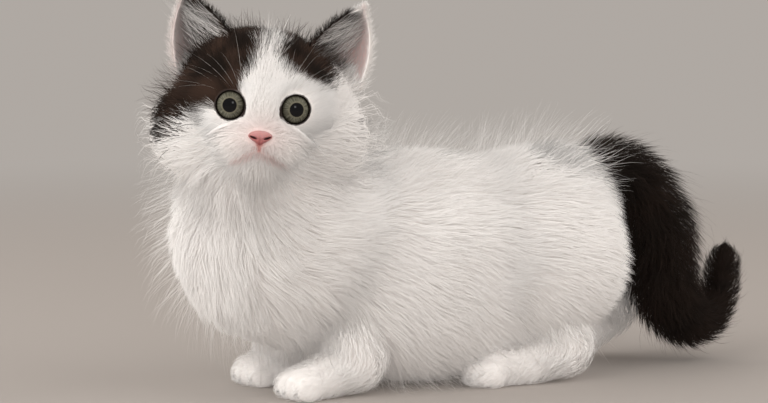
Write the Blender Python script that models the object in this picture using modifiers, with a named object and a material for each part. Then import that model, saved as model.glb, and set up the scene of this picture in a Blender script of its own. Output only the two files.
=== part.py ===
"""A still, life-size model of a munchkin kitten, standing, with its head turned to its left."""
import math

import bmesh
import bpy
import numpy as np
from mathutils import Matrix, Vector

# Sizes are in millimetres; MM turns them into metres. The kitten faces -X, its left side is -Y.
MM = 0.001
GAP = 0.3                       # between two nodes that touch

# Driving sizes
BODY_CENTRE_HEIGHT = 60.0
HEAD_PLACE = (-69.0, -16.0, 134.0)      # middle of the skull, level with the eyes
HEAD_TURN = 71.0                # degrees from straight ahead, to its left
HEAD_ROLL = 4.3                 # degrees, left ear down
EYE_RADIUS = 8.0
EYE_SPACING = 28.0
EYE_FORWARD = 18.0
EYE_OPENING = 6.3
LID = 1.0
MOUTH_DEPTH = 0.9
EAR_THICKNESS = 1.6
EAR_BEAD = 3.0
BELLY_CLEARANCE = 2.0           # the hair under the belly ends this far above the floor

# Coat: where it is long, a core under half its depth carries flat, tapered locks
CORE_SHARE = 0.45
SHORT_COAT = 4.0                # up to this depth the coat is plain
LONG_COAT = 10.5                # from this depth on the core is at its share
LOCK_LENGTH = 31.0
LOCK_WIDTH = 15.0
LOCK_THICKNESS = 2.6
LOCK_SINK = 3.0
LOCK_RING_PLACES = (0.0, 0.36, 0.72, 1.0)
LOCK_RING_WIDTHS = (0.55, 1.0, 0.72)
LOCK_RING_THICKNESS = (1.0, 1.0, 0.65)
LOCK_FLOOR = 1.2
LOCK_RISE = 0.6                 # how soon a lock rises from the core towards the tips' height
TORSO_LOCKS = 73
NECK_LOCKS = 22
HEAD_LOCKS = 24
TAIL_LOCKS = (14, 13, 10)
SEED = 7

BODY_BLEND = 5.0
HEAD_BLEND = 2.6
PAW_BLEND = 1.3
HAIR = 0.03                     # how far touching places are drawn apart
CLEARANCE = 0.45                # how far a grown copy stands off, so that facets keep the gap
HEAD_WHOLE_TRIANGLES = 3750     # of the whole trunk, in the fineness of the head
TORSO_WHOLE_TRIANGLES = 1300
LIMB_TRIANGLES = 760
COAT_SPREAD = 3.0


def head_axes():
    """Side (the kitten's left), up and forward of the head, as the rows of a matrix."""
    turn = math.radians(HEAD_TURN)
    roll = math.radians(HEAD_ROLL)
    forward = np.array([-math.cos(turn), -math.sin(turn), 0.0])
    level = np.array([math.sin(turn), -math.cos(turn), 0.0])
    up = np.array([0.0, 0.0, 1.0])
    side = level * math.cos(roll) - up * math.sin(roll)
    crown = up * math.cos(roll) + level * math.sin(roll)
    return np.array([side, crown, forward])


HEAD_AXES = head_axes()


def on_head(side, up, forward):
    return np.array(HEAD_PLACE) + np.array([side, up, forward]) @ HEAD_AXES


def ball(centre, radii, coat, axes=None):
    """An ellipsoid of flesh with the depth of the coat over it."""
    return {"kind": "ball", "centre": np.array(centre, float), "radii": np.array(radii, float),
            "coat": coat, "axes": np.eye(3) if axes is None else axes}


def limb(start, end, start_radius, end_radius, coat):
    """A round cone of flesh between two points."""
    return {"kind": "limb", "start": np.array(start, float), "end": np.array(end, float),
            "radii": (start_radius, end_radius), "coat": coat}


def head_ball(place, radii, coat):
    return ball(on_head(*place), radii, coat, HEAD_AXES)


def both_sides(place, radii, coat):
    side, up, forward = place
    return [head_ball((sign * side, up, forward), radii, coat) for sign in (-1, 1)]


def torso_forms():
    z = BODY_CENTRE_HEIGHT
    return [
        ball((-53, 4, z + 10), (38, 31, 36), 13.5),         # chest
        ball((-35, 3, z + 18), (28, 23, 21), 12.5),         # withers
        ball((-40, -3, z + 38), (18, 18, 13), 12.0),        # nape
        ball((16, 0, z - 1), (58, 32, 39.5), 13.5),         # back and flanks
        ball((14, 0, z - 20), (50, 27, 26), 13.0),          # belly
        ball((72, 0, z + 2), (37, 33, 34.5), 13.0),         # rump
        ball((97, 4, z + 24), (16, 15, 16), 14.0),          # root of the tail
        ball((78, -20, z - 9), (24, 13, 14), 10.0),         # left haunch
        ball((88, 20, z - 9), (26, 13, 15), 10.0),          # right haunch
    ]


def neck_forms():
    return [limb((-58, -2, 88), (-67, -12, 110), 26, 23, 14.0)]


def head_forms():
    forms = [
        head_ball((0, 3, -3), (30, 25, 27), 6.5),           # skull
        head_ball((0, -4, 21), (6, 9, 8), 1.8),             # bridge of the nose
        head_ball((0, -23, 19), (7, 5, 7), 3.5),            # chin
    ]
    forms += both_sides((18, -13, 0), (19, 15, 15), 11.0)   # cheeks
    forms += both_sides((5.5, -15.5, 23), (7.5, 6, 7.5), 2.2)     # muzzle pads
    forms += both_sides((EYE_SPACING / 2, 0, 12), (9, 9, 10), 1.5)     # round the eyes
    return forms


def distance(form, points):
    """How far each point is outside the form, negative inside it."""
    if form["kind"] == "ball":
        local = (points - form["centre"]) @ form["axes"].T
        near = np.linalg.norm(local / form["radii"], axis=1)
        slope = np.linalg.norm(local / form["radii"] ** 2, axis=1)
        return near * (near - 1) / np.maximum(slope, 1e-9)
    along = form["end"] - form["start"]
    share = np.clip((points - form["start"]) @ along / (along @ along), 0, 1)
    nearest = form["start"] + share[:, None] * along
    start_radius, end_radius = form["radii"]
    return np.linalg.norm(points - nearest, axis=1) - start_radius - share * (end_radius - start_radius)


def flesh_and_coat(forms, blend, points):
    """Distance to the blended flesh, and the depth of the coat at each point."""
    each = np.array([distance(form, points) for form in forms])
    least = each.min(axis=0)
    flesh = least - blend * np.log(np.exp(-(each - least) / blend).sum(axis=0))
    weight = np.exp(-(each - least) / COAT_SPREAD)
    depths = np.array([form["coat"] for form in forms])
    return flesh, (weight * depths[:, None]).sum(axis=0) / weight.sum(axis=0)


def core_depth(coat):
    """How far the core reaches out of the flesh: all of a short coat, under half of a long one."""
    share = np.clip((coat - SHORT_COAT) / (LONG_COAT - SHORT_COAT), 0, 1)
    share = share * share * (3 - 2 * share)
    return coat * (1 - share * (1 - CORE_SHARE))


def steepest(function, points, step=0.15):
    value = function(points)
    slope = np.empty_like(points)
    for axis in range(3):
        moved = points.copy()
        moved[:, axis] += step
        slope[:, axis] = (function(moved) - value) / step
    return value, slope


def seeds(form):
    """Spheres that fill the form, from which the voxel mesh is made."""
    if form["kind"] == "ball":
        return [(form["centre"], form["radii"] + form["coat"], form["axes"])]
    start_radius, end_radius = form["radii"]
    count = 6
    return [(form["start"] + t * (form["end"] - form["start"]),
             np.full(3, start_radius + t * (end_radius - start_radius) + form["coat"]), np.eye(3))
            for t in np.linspace(0, 1, count)]


def voxel_body(forms, voxel):
    """One closed mesh round all the forms."""
    mesh = bpy.data.meshes.new("seed")
    bm = bmesh.new()
    for form in forms:
        for centre, radii, axes in seeds(form):
            shape = Matrix(axes.T.tolist()).to_4x4() @ Matrix.Diagonal([*radii, 1.0])
            place = Matrix.Translation(Vector(centre.tolist())) @ shape
            bmesh.ops.create_uvsphere(bm, u_segments=24, v_segments=16, radius=1.0, matrix=place)
    bmesh.ops.scale(bm, vec=(MM, MM, MM), verts=bm.verts)
    bm.to_mesh(mesh)
    bm.free()
    body = bpy.data.objects.new("seed", mesh)
    PARTS.objects.link(body)
    remesh = body.modifiers.new("Voxels", "REMESH")
    remesh.mode = "VOXEL"
    remesh.voxel_size = voxel * MM
    apply_modifiers(body)
    return body


def apply_modifiers(obj):
    graph = bpy.context.evaluated_depsgraph_get()
    graph.update()
    mesh = bpy.data.meshes.new_from_object(obj.evaluated_get(graph))
    old = obj.data
    obj.modifiers.clear()
    obj.data = mesh
    bpy.data.meshes.remove(old)


def points_of(obj):
    places = np.empty(len(obj.data.vertices) * 3)
    obj.data.vertices.foreach_get("co", places)
    return places.reshape(-1, 3) / MM


def set_points(obj, points):
    obj.data.vertices.foreach_set("co", (points * MM).ravel())
    obj.data.update()


def relax(points, edges, share):
    """Each point moved part of the way to the middle of its neighbours."""
    total = np.zeros_like(points)
    count = np.zeros(len(points))
    for a, b in ((0, 1), (1, 0)):
        np.add.at(total, edges[:, a], points[edges[:, b]])
        np.add.at(count, edges[:, a], 1)
    return points + share * (total / count[:, None] - points)


def settle(obj, function, rounds=8):
    """The mesh is drawn on to the surface where the function is zero."""
    points = points_of(obj)
    edges = np.empty(len(obj.data.edges) * 2, int)
    obj.data.edges.foreach_get("vertices", edges)
    edges = edges.reshape(-1, 2)
    for turn in range(rounds):
        if turn < rounds - 2:
            points = relax(points, edges, 0.5)
        value, slope = steepest(function, points)
        size = np.maximum((slope ** 2).sum(axis=1), 0.05)
        points = points - np.clip(value / size, -4, 4)[:, None] * slope
    set_points(obj, points)


def thin_out(obj, triangles):
    """The mesh is simplified to about the given number of triangles."""
    bm = bmesh.new()
    bm.from_mesh(obj.data)
    bmesh.ops.triangulate(bm, faces=bm.faces)
    bm.to_mesh(obj.data)
    count = len(bm.faces)
    bm.free()
    if count > triangles:
        decimate = obj.modifiers.new("Fewer faces", "DECIMATE")
        decimate.ratio = triangles / count
        apply_modifiers(obj)


def copy_of(obj, name):
    twin = obj.copy()
    twin.data = obj.data.copy()
    twin.name = name
    PARTS.objects.link(twin)
    return twin


def remove(obj):
    bpy.data.objects.remove(obj, do_unlink=True)


def boolean(obj, other, operation, solver="MANIFOLD"):
    cut = obj.modifiers.new(operation.title(), "BOOLEAN")
    cut.operation = operation
    cut.solver = solver
    cut.object = other
    apply_modifiers(obj)
    remove(other)


def in_triangles(obj):
    """The mesh in triangles, split in the way that keeps every edge between two faces."""
    for method in ("BEAUTY", "EAR_CLIP"):
        bm = bmesh.new()
        bm.from_mesh(obj.data)
        bmesh.ops.triangulate(bm, faces=bm.faces, ngon_method=method)
        if all(len(edge.link_faces) == 2 for edge in bm.edges):
            break
    return bm


def cleaned(obj):
    """Only the largest closed surface stays, without tiny edges, in triangles."""
    bm = in_triangles(obj)
    left = set(bm.faces)
    groups = []
    while left:
        group = {left.pop()}
        edge = list(group)
        while edge:
            face = edge.pop()
            for side in face.edges:
                for other in side.link_faces:
                    if other in left:
                        left.discard(other)
                        group.add(other)
                        edge.append(other)
        groups.append(group)

    def volume(group):
        return sum(f.verts[0].co.dot(f.verts[1].co.cross(f.verts[2].co)) for f in group)

    groups.sort(key=volume)
    extra = [face for group in groups[:-1] for face in group]
    bmesh.ops.delete(bm, geom=extra, context="FACES")
    bm.normal_update()
    part_touching(bm)
    bm.to_mesh(obj.data)
    bm.free()
    obj.data.shade_smooth()
    obj.data.set_sharp_from_angle(angle=math.radians(50))


def part_touching(bm):
    """Where the surface touches itself at a point, each side is drawn in by a hair's breadth."""
    at = {}
    for vert in bm.verts:
        at.setdefault(tuple(round(value / MM, 3) for value in vert.co), []).append(vert)
    for group in at.values():
        if len(group) > 1:
            for vert in group:
                vert.co -= vert.normal * HAIR * MM


def half_space(point, normal, size=400.0):
    """A large box whose one face passes through the point, the box lying against the normal."""
    normal = Vector(normal).normalized()
    turn = normal.to_track_quat("Z", "Y").to_matrix().to_4x4()
    place = Matrix.Translation(Vector(point) - normal * size / 2) @ turn
    return box(place, (size, size, size))


def box(place, sizes):
    mesh = bpy.data.meshes.new("cutter")
    bm = bmesh.new()
    bmesh.ops.create_cube(bm, size=1.0, matrix=place @ Matrix.Diagonal([*sizes, 1.0]))
    bmesh.ops.scale(bm, vec=(MM, MM, MM), verts=bm.verts)
    bm.to_mesh(mesh)
    bm.free()
    cutter = bpy.data.objects.new("cutter", mesh)
    CUTTERS.objects.link(cutter)
    return cutter


def round_solid(name, centre, radii, axes=None, segments=24, rings=14, collection=None):
    axes = np.eye(3) if axes is None else axes
    mesh = bpy.data.meshes.new(name)
    bm = bmesh.new()
    shape = Matrix(np.asarray(axes).T.tolist()).to_4x4() @ Matrix.Diagonal([*radii, 1.0])
    place = Matrix.Translation(Vector(list(centre))) @ shape
    bmesh.ops.create_uvsphere(bm, u_segments=segments, v_segments=rings, radius=1.0, matrix=place)
    bmesh.ops.scale(bm, vec=(MM, MM, MM), verts=bm.verts)
    bmesh.ops.triangulate(bm, faces=bm.faces)
    bm.to_mesh(mesh)
    bm.free()
    obj = bpy.data.objects.new(name, mesh)
    (collection or PARTS).objects.link(obj)
    return obj


def tube(name, path, along, radii, sides):
    """A closed tube along a path, given as arrays of places, directions and radii."""
    along = along / np.linalg.norm(along, axis=1)[:, None]
    across = np.cross(along, [0.0, 1.0, 0.0])
    across /= np.linalg.norm(across, axis=1)[:, None]
    third = np.cross(along, across)
    angle = np.arange(sides) * 2 * math.pi / sides
    ring = (across[:, None, :] * np.cos(angle)[None, :, None]
            + third[:, None, :] * np.sin(angle)[None, :, None])
    places = path[:, None, :] + ring * np.asarray(radii)[:, None, None]
    return lofted(name, places)


def lofted(name, rings):
    """Rings of points joined by faces, with a fan of faces at each end."""
    count, sides = rings.shape[:2]
    points = [tuple(p) for p in (rings.reshape(-1, 3) * MM)]
    points += [tuple(rings[0].mean(axis=0) * MM), tuple(rings[-1].mean(axis=0) * MM)]
    faces = []
    for i in range(count - 1):
        for j in range(sides):
            k = (j + 1) % sides
            faces.append((i * sides + j, (i + 1) * sides + j, (i + 1) * sides + k, i * sides + k))
    for j in range(sides):
        k = (j + 1) % sides
        faces.append((count * sides, j, k))
        faces.append((count * sides + 1, (count - 1) * sides + k, (count - 1) * sides + j))
    mesh = bpy.data.meshes.new(name)
    mesh.from_pydata(points, [], faces)
    bm = bmesh.new()
    bm.from_mesh(mesh)
    bmesh.ops.triangulate(bm, faces=bm.faces)
    bmesh.ops.recalc_face_normals(bm, faces=bm.faces)
    bm.to_mesh(mesh)
    bm.free()
    obj = bpy.data.objects.new(name, mesh)
    PARTS.objects.link(obj)
    return obj


def smooth_path(stations, count):
    """Points of a Catmull-Rom curve through the stations, evenly many between each two."""
    stations = np.asarray(stations, float)
    padded = np.vstack([2 * stations[0] - stations[1], stations, 2 * stations[-1] - stations[-2]])
    out = []
    for place in np.linspace(0, len(stations) - 1, count):
        i = min(int(place), len(stations) - 2)
        t = place - i
        a, b, c, d = padded[i:i + 4]
        out.append(0.5 * (2 * b + (c - a) * t + (2 * a - 5 * b + 4 * c - d) * t ** 2
                          + (3 * b - a - 3 * c + d) * t ** 3))
    return np.array(out)


# Trunk: head, neck and torso as one blended body, parted by thin cuts
TRUNK_VOXEL = 2.4
HEAD_SEAM = ((-68, -16, 101), (-0.12, -0.26, 1.0))
NECK_SEAM = ((-60, -2, 84), (-0.62, -0.05, 1.0))


def head_weight(points):
    """One in the head, nought in the body, for the blending of forms."""
    height = (points - np.array(HEAD_PLACE)) @ HEAD_AXES[1]
    return np.clip((height + 45) / 20, 0, 1)


def trunk_heights(points):
    """Height over the trunk's core, and the depth of the hair that stands on the core."""
    forms = torso_forms() + neck_forms() + head_forms()
    weight = head_weight(points)
    soft, coat = flesh_and_coat(forms, BODY_BLEND, points)
    crisp = flesh_and_coat(forms, HEAD_BLEND, points)[0]
    core = core_depth(coat)
    height = soft + weight * (crisp - soft) - core
    return np.maximum(height, BELLY_CLEARANCE - points[:, 2]), coat - core


def grown(obj, name, amount):
    """A copy of a closed mesh with its surface moved outwards."""
    twin = copy_of(obj, name)
    normals = np.empty(len(twin.data.vertices) * 3)
    twin.data.vertex_normals.foreach_get("vector", normals)
    set_points(twin, points_of(twin) + normals.reshape(-1, 3) * amount)
    return twin


def clear_locks(obj, others):
    """Locks that reach into other nodes are cut off a thin gap before them."""
    for other in others:
        boolean(obj, grown(other, "cut", GAP), "DIFFERENCE")
    cleaned(obj)


def keep_beyond(obj, seam, side):
    """The part of the body on one side of a seam: 1 above it, -1 below it."""
    point, normal = np.array(seam[0], float), np.array(seam[1], float)
    away = normal / np.linalg.norm(normal) * -side
    boolean(obj, half_space(point - away * GAP / 2, away), "INTERSECT")


def lie_on_trunk(points):
    """The way the hair points: back along the body, down the chest, and away from the nose."""
    x, y, z = points.T
    low = np.clip((80 - z) / 70, 0, 1)
    chest = np.clip((-50 - x) / 40, 0, 1)
    body = np.stack([1 - 0.95 * chest, 0.012 * y * chest, -(0.12 + 0.75 * low + 0.9 * chest)], axis=1)
    local = (points - np.array(HEAD_PLACE)) @ HEAD_AXES.T
    spread = local + np.array([0, 12.0, 0])
    spread[:, 2] = -16.0
    spread[:, 1] -= 6.0
    head = spread @ HEAD_AXES
    head /= np.linalg.norm(head, axis=1)[:, None]
    weight = head_weight(points)[:, None]
    return body + weight * (head - body)


def beyond(seam, points):
    """Distance of each point above a seam."""
    normal = np.array(seam[1], float)
    return (points - np.array(seam[0], float)) @ (normal / np.linalg.norm(normal))


def spread_roots(candidates, count):
    """Roots spread evenly: each next one is the candidate farthest from those chosen."""
    chosen = [int(np.argmin(candidates[:, 0]))]
    far = np.linalg.norm(candidates - candidates[chosen[0]], axis=1)
    while len(chosen) < count:
        chosen.append(int(np.argmax(far)))
        far = np.minimum(far, np.linalg.norm(candidates - candidates[chosen[-1]], axis=1))
    return candidates[chosen]


def to_height(heights, points, share, offset):
    """Points moved to a share of the hair's depth over the core, plus an offset in millimetres."""
    def gap(places):
        height, hair = heights(places)
        return height - share * hair - offset

    for _ in range(3):
        value, slope = steepest(gap, points)
        size = np.maximum((slope ** 2).sum(axis=1), 0.1)
        points = points - np.clip(value / size, -6, 6)[:, None] * slope
    return points


def clear_of(obstacle, points, margin):
    """Points nearer to an obstacle than the margin are moved away from it."""
    for _ in range(3):
        value, slope = steepest(obstacle, points)
        points = points + np.clip(margin - value, 0, 8)[:, None] * slope
    return points


def grow_locks(heights, lie, roots, obstacle, random, scale=1.0):
    """Flat locks that taper and bend over the surface: four corners a ring, then the tip."""
    count = len(roots)
    length = LOCK_LENGTH * scale * random.uniform(0.85, 1.15, count)
    width = LOCK_WIDTH * scale * random.uniform(0.85, 1.2, count)
    lean = random.uniform(-0.3, 0.3, count)
    reach = random.uniform(0.95, 1.2, count)
    place = roots
    last = 0.0
    rings = []
    for index, share in enumerate(LOCK_RING_PLACES):
        _, slope = steepest(lambda p: heights(p)[0], place)
        normal = slope / np.linalg.norm(slope, axis=1)[:, None]
        flow = lie(place)
        flow = flow - (flow * normal).sum(axis=1)[:, None] * normal
        flow /= np.linalg.norm(flow, axis=1)[:, None]
        across = np.cross(normal, flow)
        heading = flow + lean[:, None] * (share + 0.3) * across
        place = place + heading * (length * (share - last))[:, None]
        last = share
        level = share ** LOCK_RISE * reach
        if index == len(LOCK_RING_PLACES) - 1:
            rings.append(to_height(heights, place, level, 0.0)[:, None, :])
            break
        sunk = -LOCK_SINK if index == 0 else 0.0
        place = to_height(heights, place, level, sunk)
        half = width * LOCK_RING_WIDTHS[index] / 2
        thick = LOCK_THICKNESS * LOCK_RING_THICKNESS[index] / 2
        corners = [to_height(heights, place + across * half[:, None], level, sunk - 0.3 * thick),
                   to_height(heights, place, level, sunk + thick),
                   to_height(heights, place - across * half[:, None], level, sunk - 0.3 * thick),
                   to_height(heights, place, level, sunk - thick)]
        rings.append(np.stack(corners, axis=1))
    for ring in rings[1:]:
        flat = clear_of(obstacle, ring.reshape(-1, 3), 1.6)
        flat[:, 2] = np.maximum(flat[:, 2], LOCK_FLOOR)
        ring[:] = flat.reshape(ring.shape)
    return rings


def lock_faces():
    """Faces of one lock: the root's cap, two bands of quads and the four triangles of the tip."""
    faces = [(0, 1, 2, 3)]
    bands = len(LOCK_RING_WIDTHS) - 1
    for i in range(bands):
        for j in range(4):
            k = (j + 1) % 4
            faces.append((4 * i + j, 4 * i + 4 + j, 4 * i + 4 + k, 4 * i + k))
    tip = 4 * (bands + 1)
    faces += [(4 * bands + j, tip, 4 * bands + (j + 1) % 4) for j in range(4)]
    return faces


def join_locks(core, rings):
    """One union of the core with its locks."""
    group = bpy.data.collections.new("locks")
    bpy.context.scene.collection.children.link(group)
    for index in range(len(rings[0])):
        points = np.vstack([ring[index] for ring in rings]) * MM
        mesh = bpy.data.meshes.new("lock")
        mesh.from_pydata(points.tolist(), [], lock_faces())
        bm = bmesh.new()
        bm.from_mesh(mesh)
        bmesh.ops.triangulate(bm, faces=bm.faces)
        bmesh.ops.recalc_face_normals(bm, faces=bm.faces)
        bm.to_mesh(mesh)
        bm.free()
        group.objects.link(bpy.data.objects.new("lock", mesh))
    union = core.modifiers.new("Locks", "BOOLEAN")
    union.operation = "UNION"
    union.solver = "MANIFOLD"
    union.operand_type = "COLLECTION"
    union.collection = group
    apply_modifiers(core)
    for lock in list(group.objects):
        remove(lock)
    bpy.data.collections.remove(group)


def limb_distance(points):
    """Distance to the nearest leg, paw, ear or length of the tail."""
    near = [outside_limb(name, points) for name in LIMBS]
    near.append(tail_distance(points))
    near.append(ear_distance(points))
    return np.min(near, axis=0)


def roots_on(points, inside):
    """Vertices of a core that may carry a lock: long hair, and well inside the node."""
    hair = trunk_heights(points)[1]
    return points[(hair > 3.0) & inside(points) & (limb_distance(points) > 5.0) & (points[:, 2] > 3.0)]


def trunk_nodes():
    """Each node of the trunk, with the seams that bound it and which side of them it is on."""
    return {"head": [(HEAD_SEAM, 1), (NECK_SEAM, 1)],
            "neck": [(HEAD_SEAM, -1), (NECK_SEAM, 1)],
            "torso": [(NECK_SEAM, -1)]}


def add_trunk():
    forms = torso_forms() + neck_forms() + head_forms()
    body = voxel_body(forms, TRUNK_VOXEL)
    settle(body, lambda points: trunk_heights(points)[0])
    surface = points_of(body)
    nodes = {"head": copy_of(body, "head"), "torso": body}
    body.name = "torso"
    thin_out(nodes["head"], HEAD_WHOLE_TRIANGLES)
    thin_out(nodes["torso"], TORSO_WHOLE_TRIANGLES)
    head_room = grown(nodes["head"], "head_room", CLEARANCE)
    torso_room = grown(nodes["torso"], "torso_room", CLEARANCE)
    nodes["neck"] = copy_of(nodes["torso"], "neck")
    random = np.random.default_rng(SEED)
    counts = {"head": HEAD_LOCKS, "neck": NECK_LOCKS, "torso": TORSO_LOCKS}
    for name, seams in trunk_nodes().items():
        def inside(points, seams=seams):
            return np.min([side * beyond(seam, points) for seam, side in seams], axis=0) > 4.0

        roots = spread_roots(roots_on(surface, inside), counts[name])
        scale = 0.8 if name == "head" else 1.0
        rings = grow_locks(trunk_heights, lie_on_trunk, roots, limb_distance, random, scale)
        join_locks(nodes[name], rings)
        for seam, side in seams:
            keep_beyond(nodes[name], seam, side)
        cleaned(nodes[name])
    return nodes["head"], head_room, torso_room


def eye_axis(sign):
    outward = math.radians(9)
    return (HEAD_AXES[2] * math.cos(outward) + sign * HEAD_AXES[0] * math.sin(outward))


def eye_place(sign):
    return on_head(sign * EYE_SPACING / 2, 0, EYE_FORWARD)


def frame_on(axis):
    """Three axes, the last along the given one and the first level."""
    axis = np.asarray(axis, float) / np.linalg.norm(axis)
    first = np.cross([0.0, 0.0, 1.0], axis)
    first /= np.linalg.norm(first)
    return np.array([first, np.cross(axis, first), axis])


def rod(name, start, end, radius, sides=20):
    """A plain cylinder between two points."""
    start, end = np.asarray(start, float), np.asarray(end, float)
    axes = frame_on(end - start)
    mesh = bpy.data.meshes.new(name)
    bm = bmesh.new()
    place = (Matrix.Translation(Vector(((start + end) / 2).tolist()))
             @ Matrix(axes.T.tolist()).to_4x4())
    bmesh.ops.create_cone(bm, cap_ends=True, segments=sides, radius1=radius, radius2=radius,
                          depth=np.linalg.norm(end - start), matrix=place)
    bmesh.ops.scale(bm, vec=(MM, MM, MM), verts=bm.verts)
    bm.to_mesh(mesh)
    bm.free()
    obj = bpy.data.objects.new(name, mesh)
    CUTTERS.objects.link(obj)
    return obj


def add_face(head):
    """Lids, eyes, the line of the mouth, the nose leather and its nostrils."""
    for sign, side in ((-1, "right"), (1, "left")):
        place, axis = eye_place(sign), eye_axis(sign)
        axes = frame_on(axis)
        lids = round_solid("lids", place, [EYE_RADIUS + GAP + LID] * 3, axes, 18, 12)
        boolean(head, lids, "UNION")
        socket = round_solid("socket", place, [EYE_RADIUS + GAP] * 3, axes, 18, 12, CUTTERS)
        boolean(head, socket, "DIFFERENCE")
        opening = rod("opening", place, place + 16 * axis, EYE_OPENING, 18)
        boolean(head, opening, "DIFFERENCE")
        round_solid("eye_" + side, place, [EYE_RADIUS] * 3, axes, 18, 10)
    half = [(3.5, -21.4, 30), (7.5, -23.4, 28), (11.0, -26.0, 25)]
    lips = [(-side, up, ahead) for side, up, ahead in half[::-1]] + [(0, -20.4, 30.5)] + half
    furrow = [(0, -13.6, 31), (0, -17.0, 31), (0, -20.9, 30.5)]
    for path, depth in ((lips, MOUTH_DEPTH), (furrow, 0.8 * MOUTH_DEPTH)):
        places = to_height(trunk_heights, np.array([on_head(*place) for place in path]), 0, 0.2)
        line = tube("mouth", places, np.gradient(places, axis=0), np.full(len(path), depth), 5)
        boolean(head, line, "DIFFERENCE")
    cleaned(head)


def ear_grid(sign):
    """Places on the middle of an ear's wall: rows from its root to its tip, each a bowed arc."""
    across, high = 8, 7
    inner, outer, tip = np.array([17, 26, 4.0]), np.array([43, 2, 0.0]), np.array([41, 46, -3.0])
    grid = np.empty((high, across, 3))
    for i, v in enumerate(np.linspace(0, 1, high)):
        for j, u in enumerate(np.linspace(0, 1, across)):
            bulge = math.sin(math.pi * v) * 2.5
            left = inner + (tip - inner) * v + np.array([-0.6, 0.8, 0]) * bulge
            right = outer + (tip - outer) * v + np.array([1.0, 0.2, 0]) * bulge * 1.4
            width = np.linalg.norm(right - left)
            bow = np.array([0.25, -0.1, -1.0]) * width * 0.42 * math.sin(math.pi * u)
            grid[i, j] = left + (right - left) * u + bow
    grid[-1] = grid[-1].mean(axis=0) + (grid[-2] - grid[-2].mean(axis=0)) * 0.5
    return np.array([[on_head(sign * s, u, f) for s, u, f in row] for row in grid])


def ear_distance(points):
    """Distance to the nearer ear, from beads set on its wall."""
    beads = np.vstack([ear_grid(sign).reshape(-1, 3) for sign in (-1, 1)])
    apart = np.linalg.norm(points[:, None, :] - beads[None, :, :], axis=2).min(axis=1)
    return apart - EAR_BEAD


def add_ear(sign, clearance):
    """A cupped triangular shell with a round tip, open to the front and side."""
    places = ear_grid(sign)
    high, across = places.shape[:2]
    places = places.reshape(-1, 3)
    faces = []
    for i in range(high - 1):
        for j in range(across - 1):
            a = i * across + j
            quad = (a, a + 1, a + across + 1, a + across)
            faces.append(quad if sign > 0 else quad[::-1])
    side = "left" if sign > 0 else "right"
    mesh = bpy.data.meshes.new("ear_" + side)
    mesh.from_pydata([tuple(p) for p in places * MM], [], faces)
    ear = bpy.data.objects.new("ear_" + side, mesh)
    PARTS.objects.link(ear)
    wall = ear.modifiers.new("Thickness", "SOLIDIFY")
    wall.thickness = EAR_THICKNESS * MM
    wall.offset = 0
    apply_modifiers(ear)
    boolean(ear, copy_of(clearance, "cut"), "DIFFERENCE")
    cleaned(ear)


def add_nose(clearance):
    nose = round_solid("nose", on_head(0, -11.0, 31.5), (5.4, 4.0, 3.4), HEAD_AXES, 14, 8)
    for sign in (-1, 1):
        hole = round_solid("nostril", on_head(sign * 3.0, -11.6, 34.8), (1.3, 0.8, 1.6), HEAD_AXES,
                           8, 6, CUTTERS)
        boolean(nose, hole, "DIFFERENCE")
    boolean(nose, copy_of(clearance, "cut"), "DIFFERENCE")
    cleaned(nose)


def toes(base, heading, spread, size, coat):
    """Four toe forms in an arc in front of the paw."""
    heading = np.array([math.cos(math.radians(heading)), math.sin(math.radians(heading)), 0.0])
    across = np.array([-heading[1], heading[0], 0.0])
    axes = np.array([heading, across, [0.0, 0.0, 1.0]])
    forms = []
    for place in (-1.5, -0.5, 0.5, 1.5):
        reach = -1.4 * (abs(place) - 0.5) ** 1.5
        centre = np.array(base) + across * place * spread + heading * reach * 2
        forms.append(ball(centre, size, coat, axes))
    return forms


def fore_forms(side_y, toe_x, leg_x, heading):
    """Paw and leg of one forelimb, from its toe tips and the place of the leg."""
    paw = [ball((toe_x + 19, side_y, 7.5), (13, 9, 7), 2.2)]
    paw += toes((toe_x + 9, side_y, 5.6), heading, 5.2, (6.5, 3.4, 5.5), 1.7)
    leg = [limb((leg_x, side_y, 16), (leg_x + 2, side_y * 0.55, 46), 9, 9, 6.0),
           limb((toe_x + 24, side_y, 9), (leg_x, side_y, 14), 8, 8, 3.0)]
    return paw, leg


def hind_forms(side_y, toe_x, hock, hip):
    paw = [limb((toe_x + 16, side_y, 8), (toe_x + 34, side_y, 8.5), 7.5, 7, 3.0)]
    paw += toes((toe_x + 9, side_y, 5.6), 180, 5.2, (6.5, 3.4, 5.5), 1.9)
    leg = [limb((toe_x + 34, side_y, 9), hock, 7, 7, 4.0),
           limb(hock, hip, 7, 12, 5.5)]
    return paw, leg


LIMBS = {
    "fore_left": fore_forms(-22, -64, -25, 188),
    "fore_right": fore_forms(22, -68, -44, 184),
    "hind_left": hind_forms(-27, 29, (82, -27, 16), (76, -12, 38)),
    "hind_right": hind_forms(27, 86, (141, 28, 27), (108, 15, 52)),
}


def outside_limb(name, points):
    """Height over the short coat of a leg and its paw."""
    paw_forms, leg_forms = LIMBS[name]
    flesh, coat = flesh_and_coat(paw_forms + leg_forms, PAW_BLEND, points)
    return flesh - coat


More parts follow.
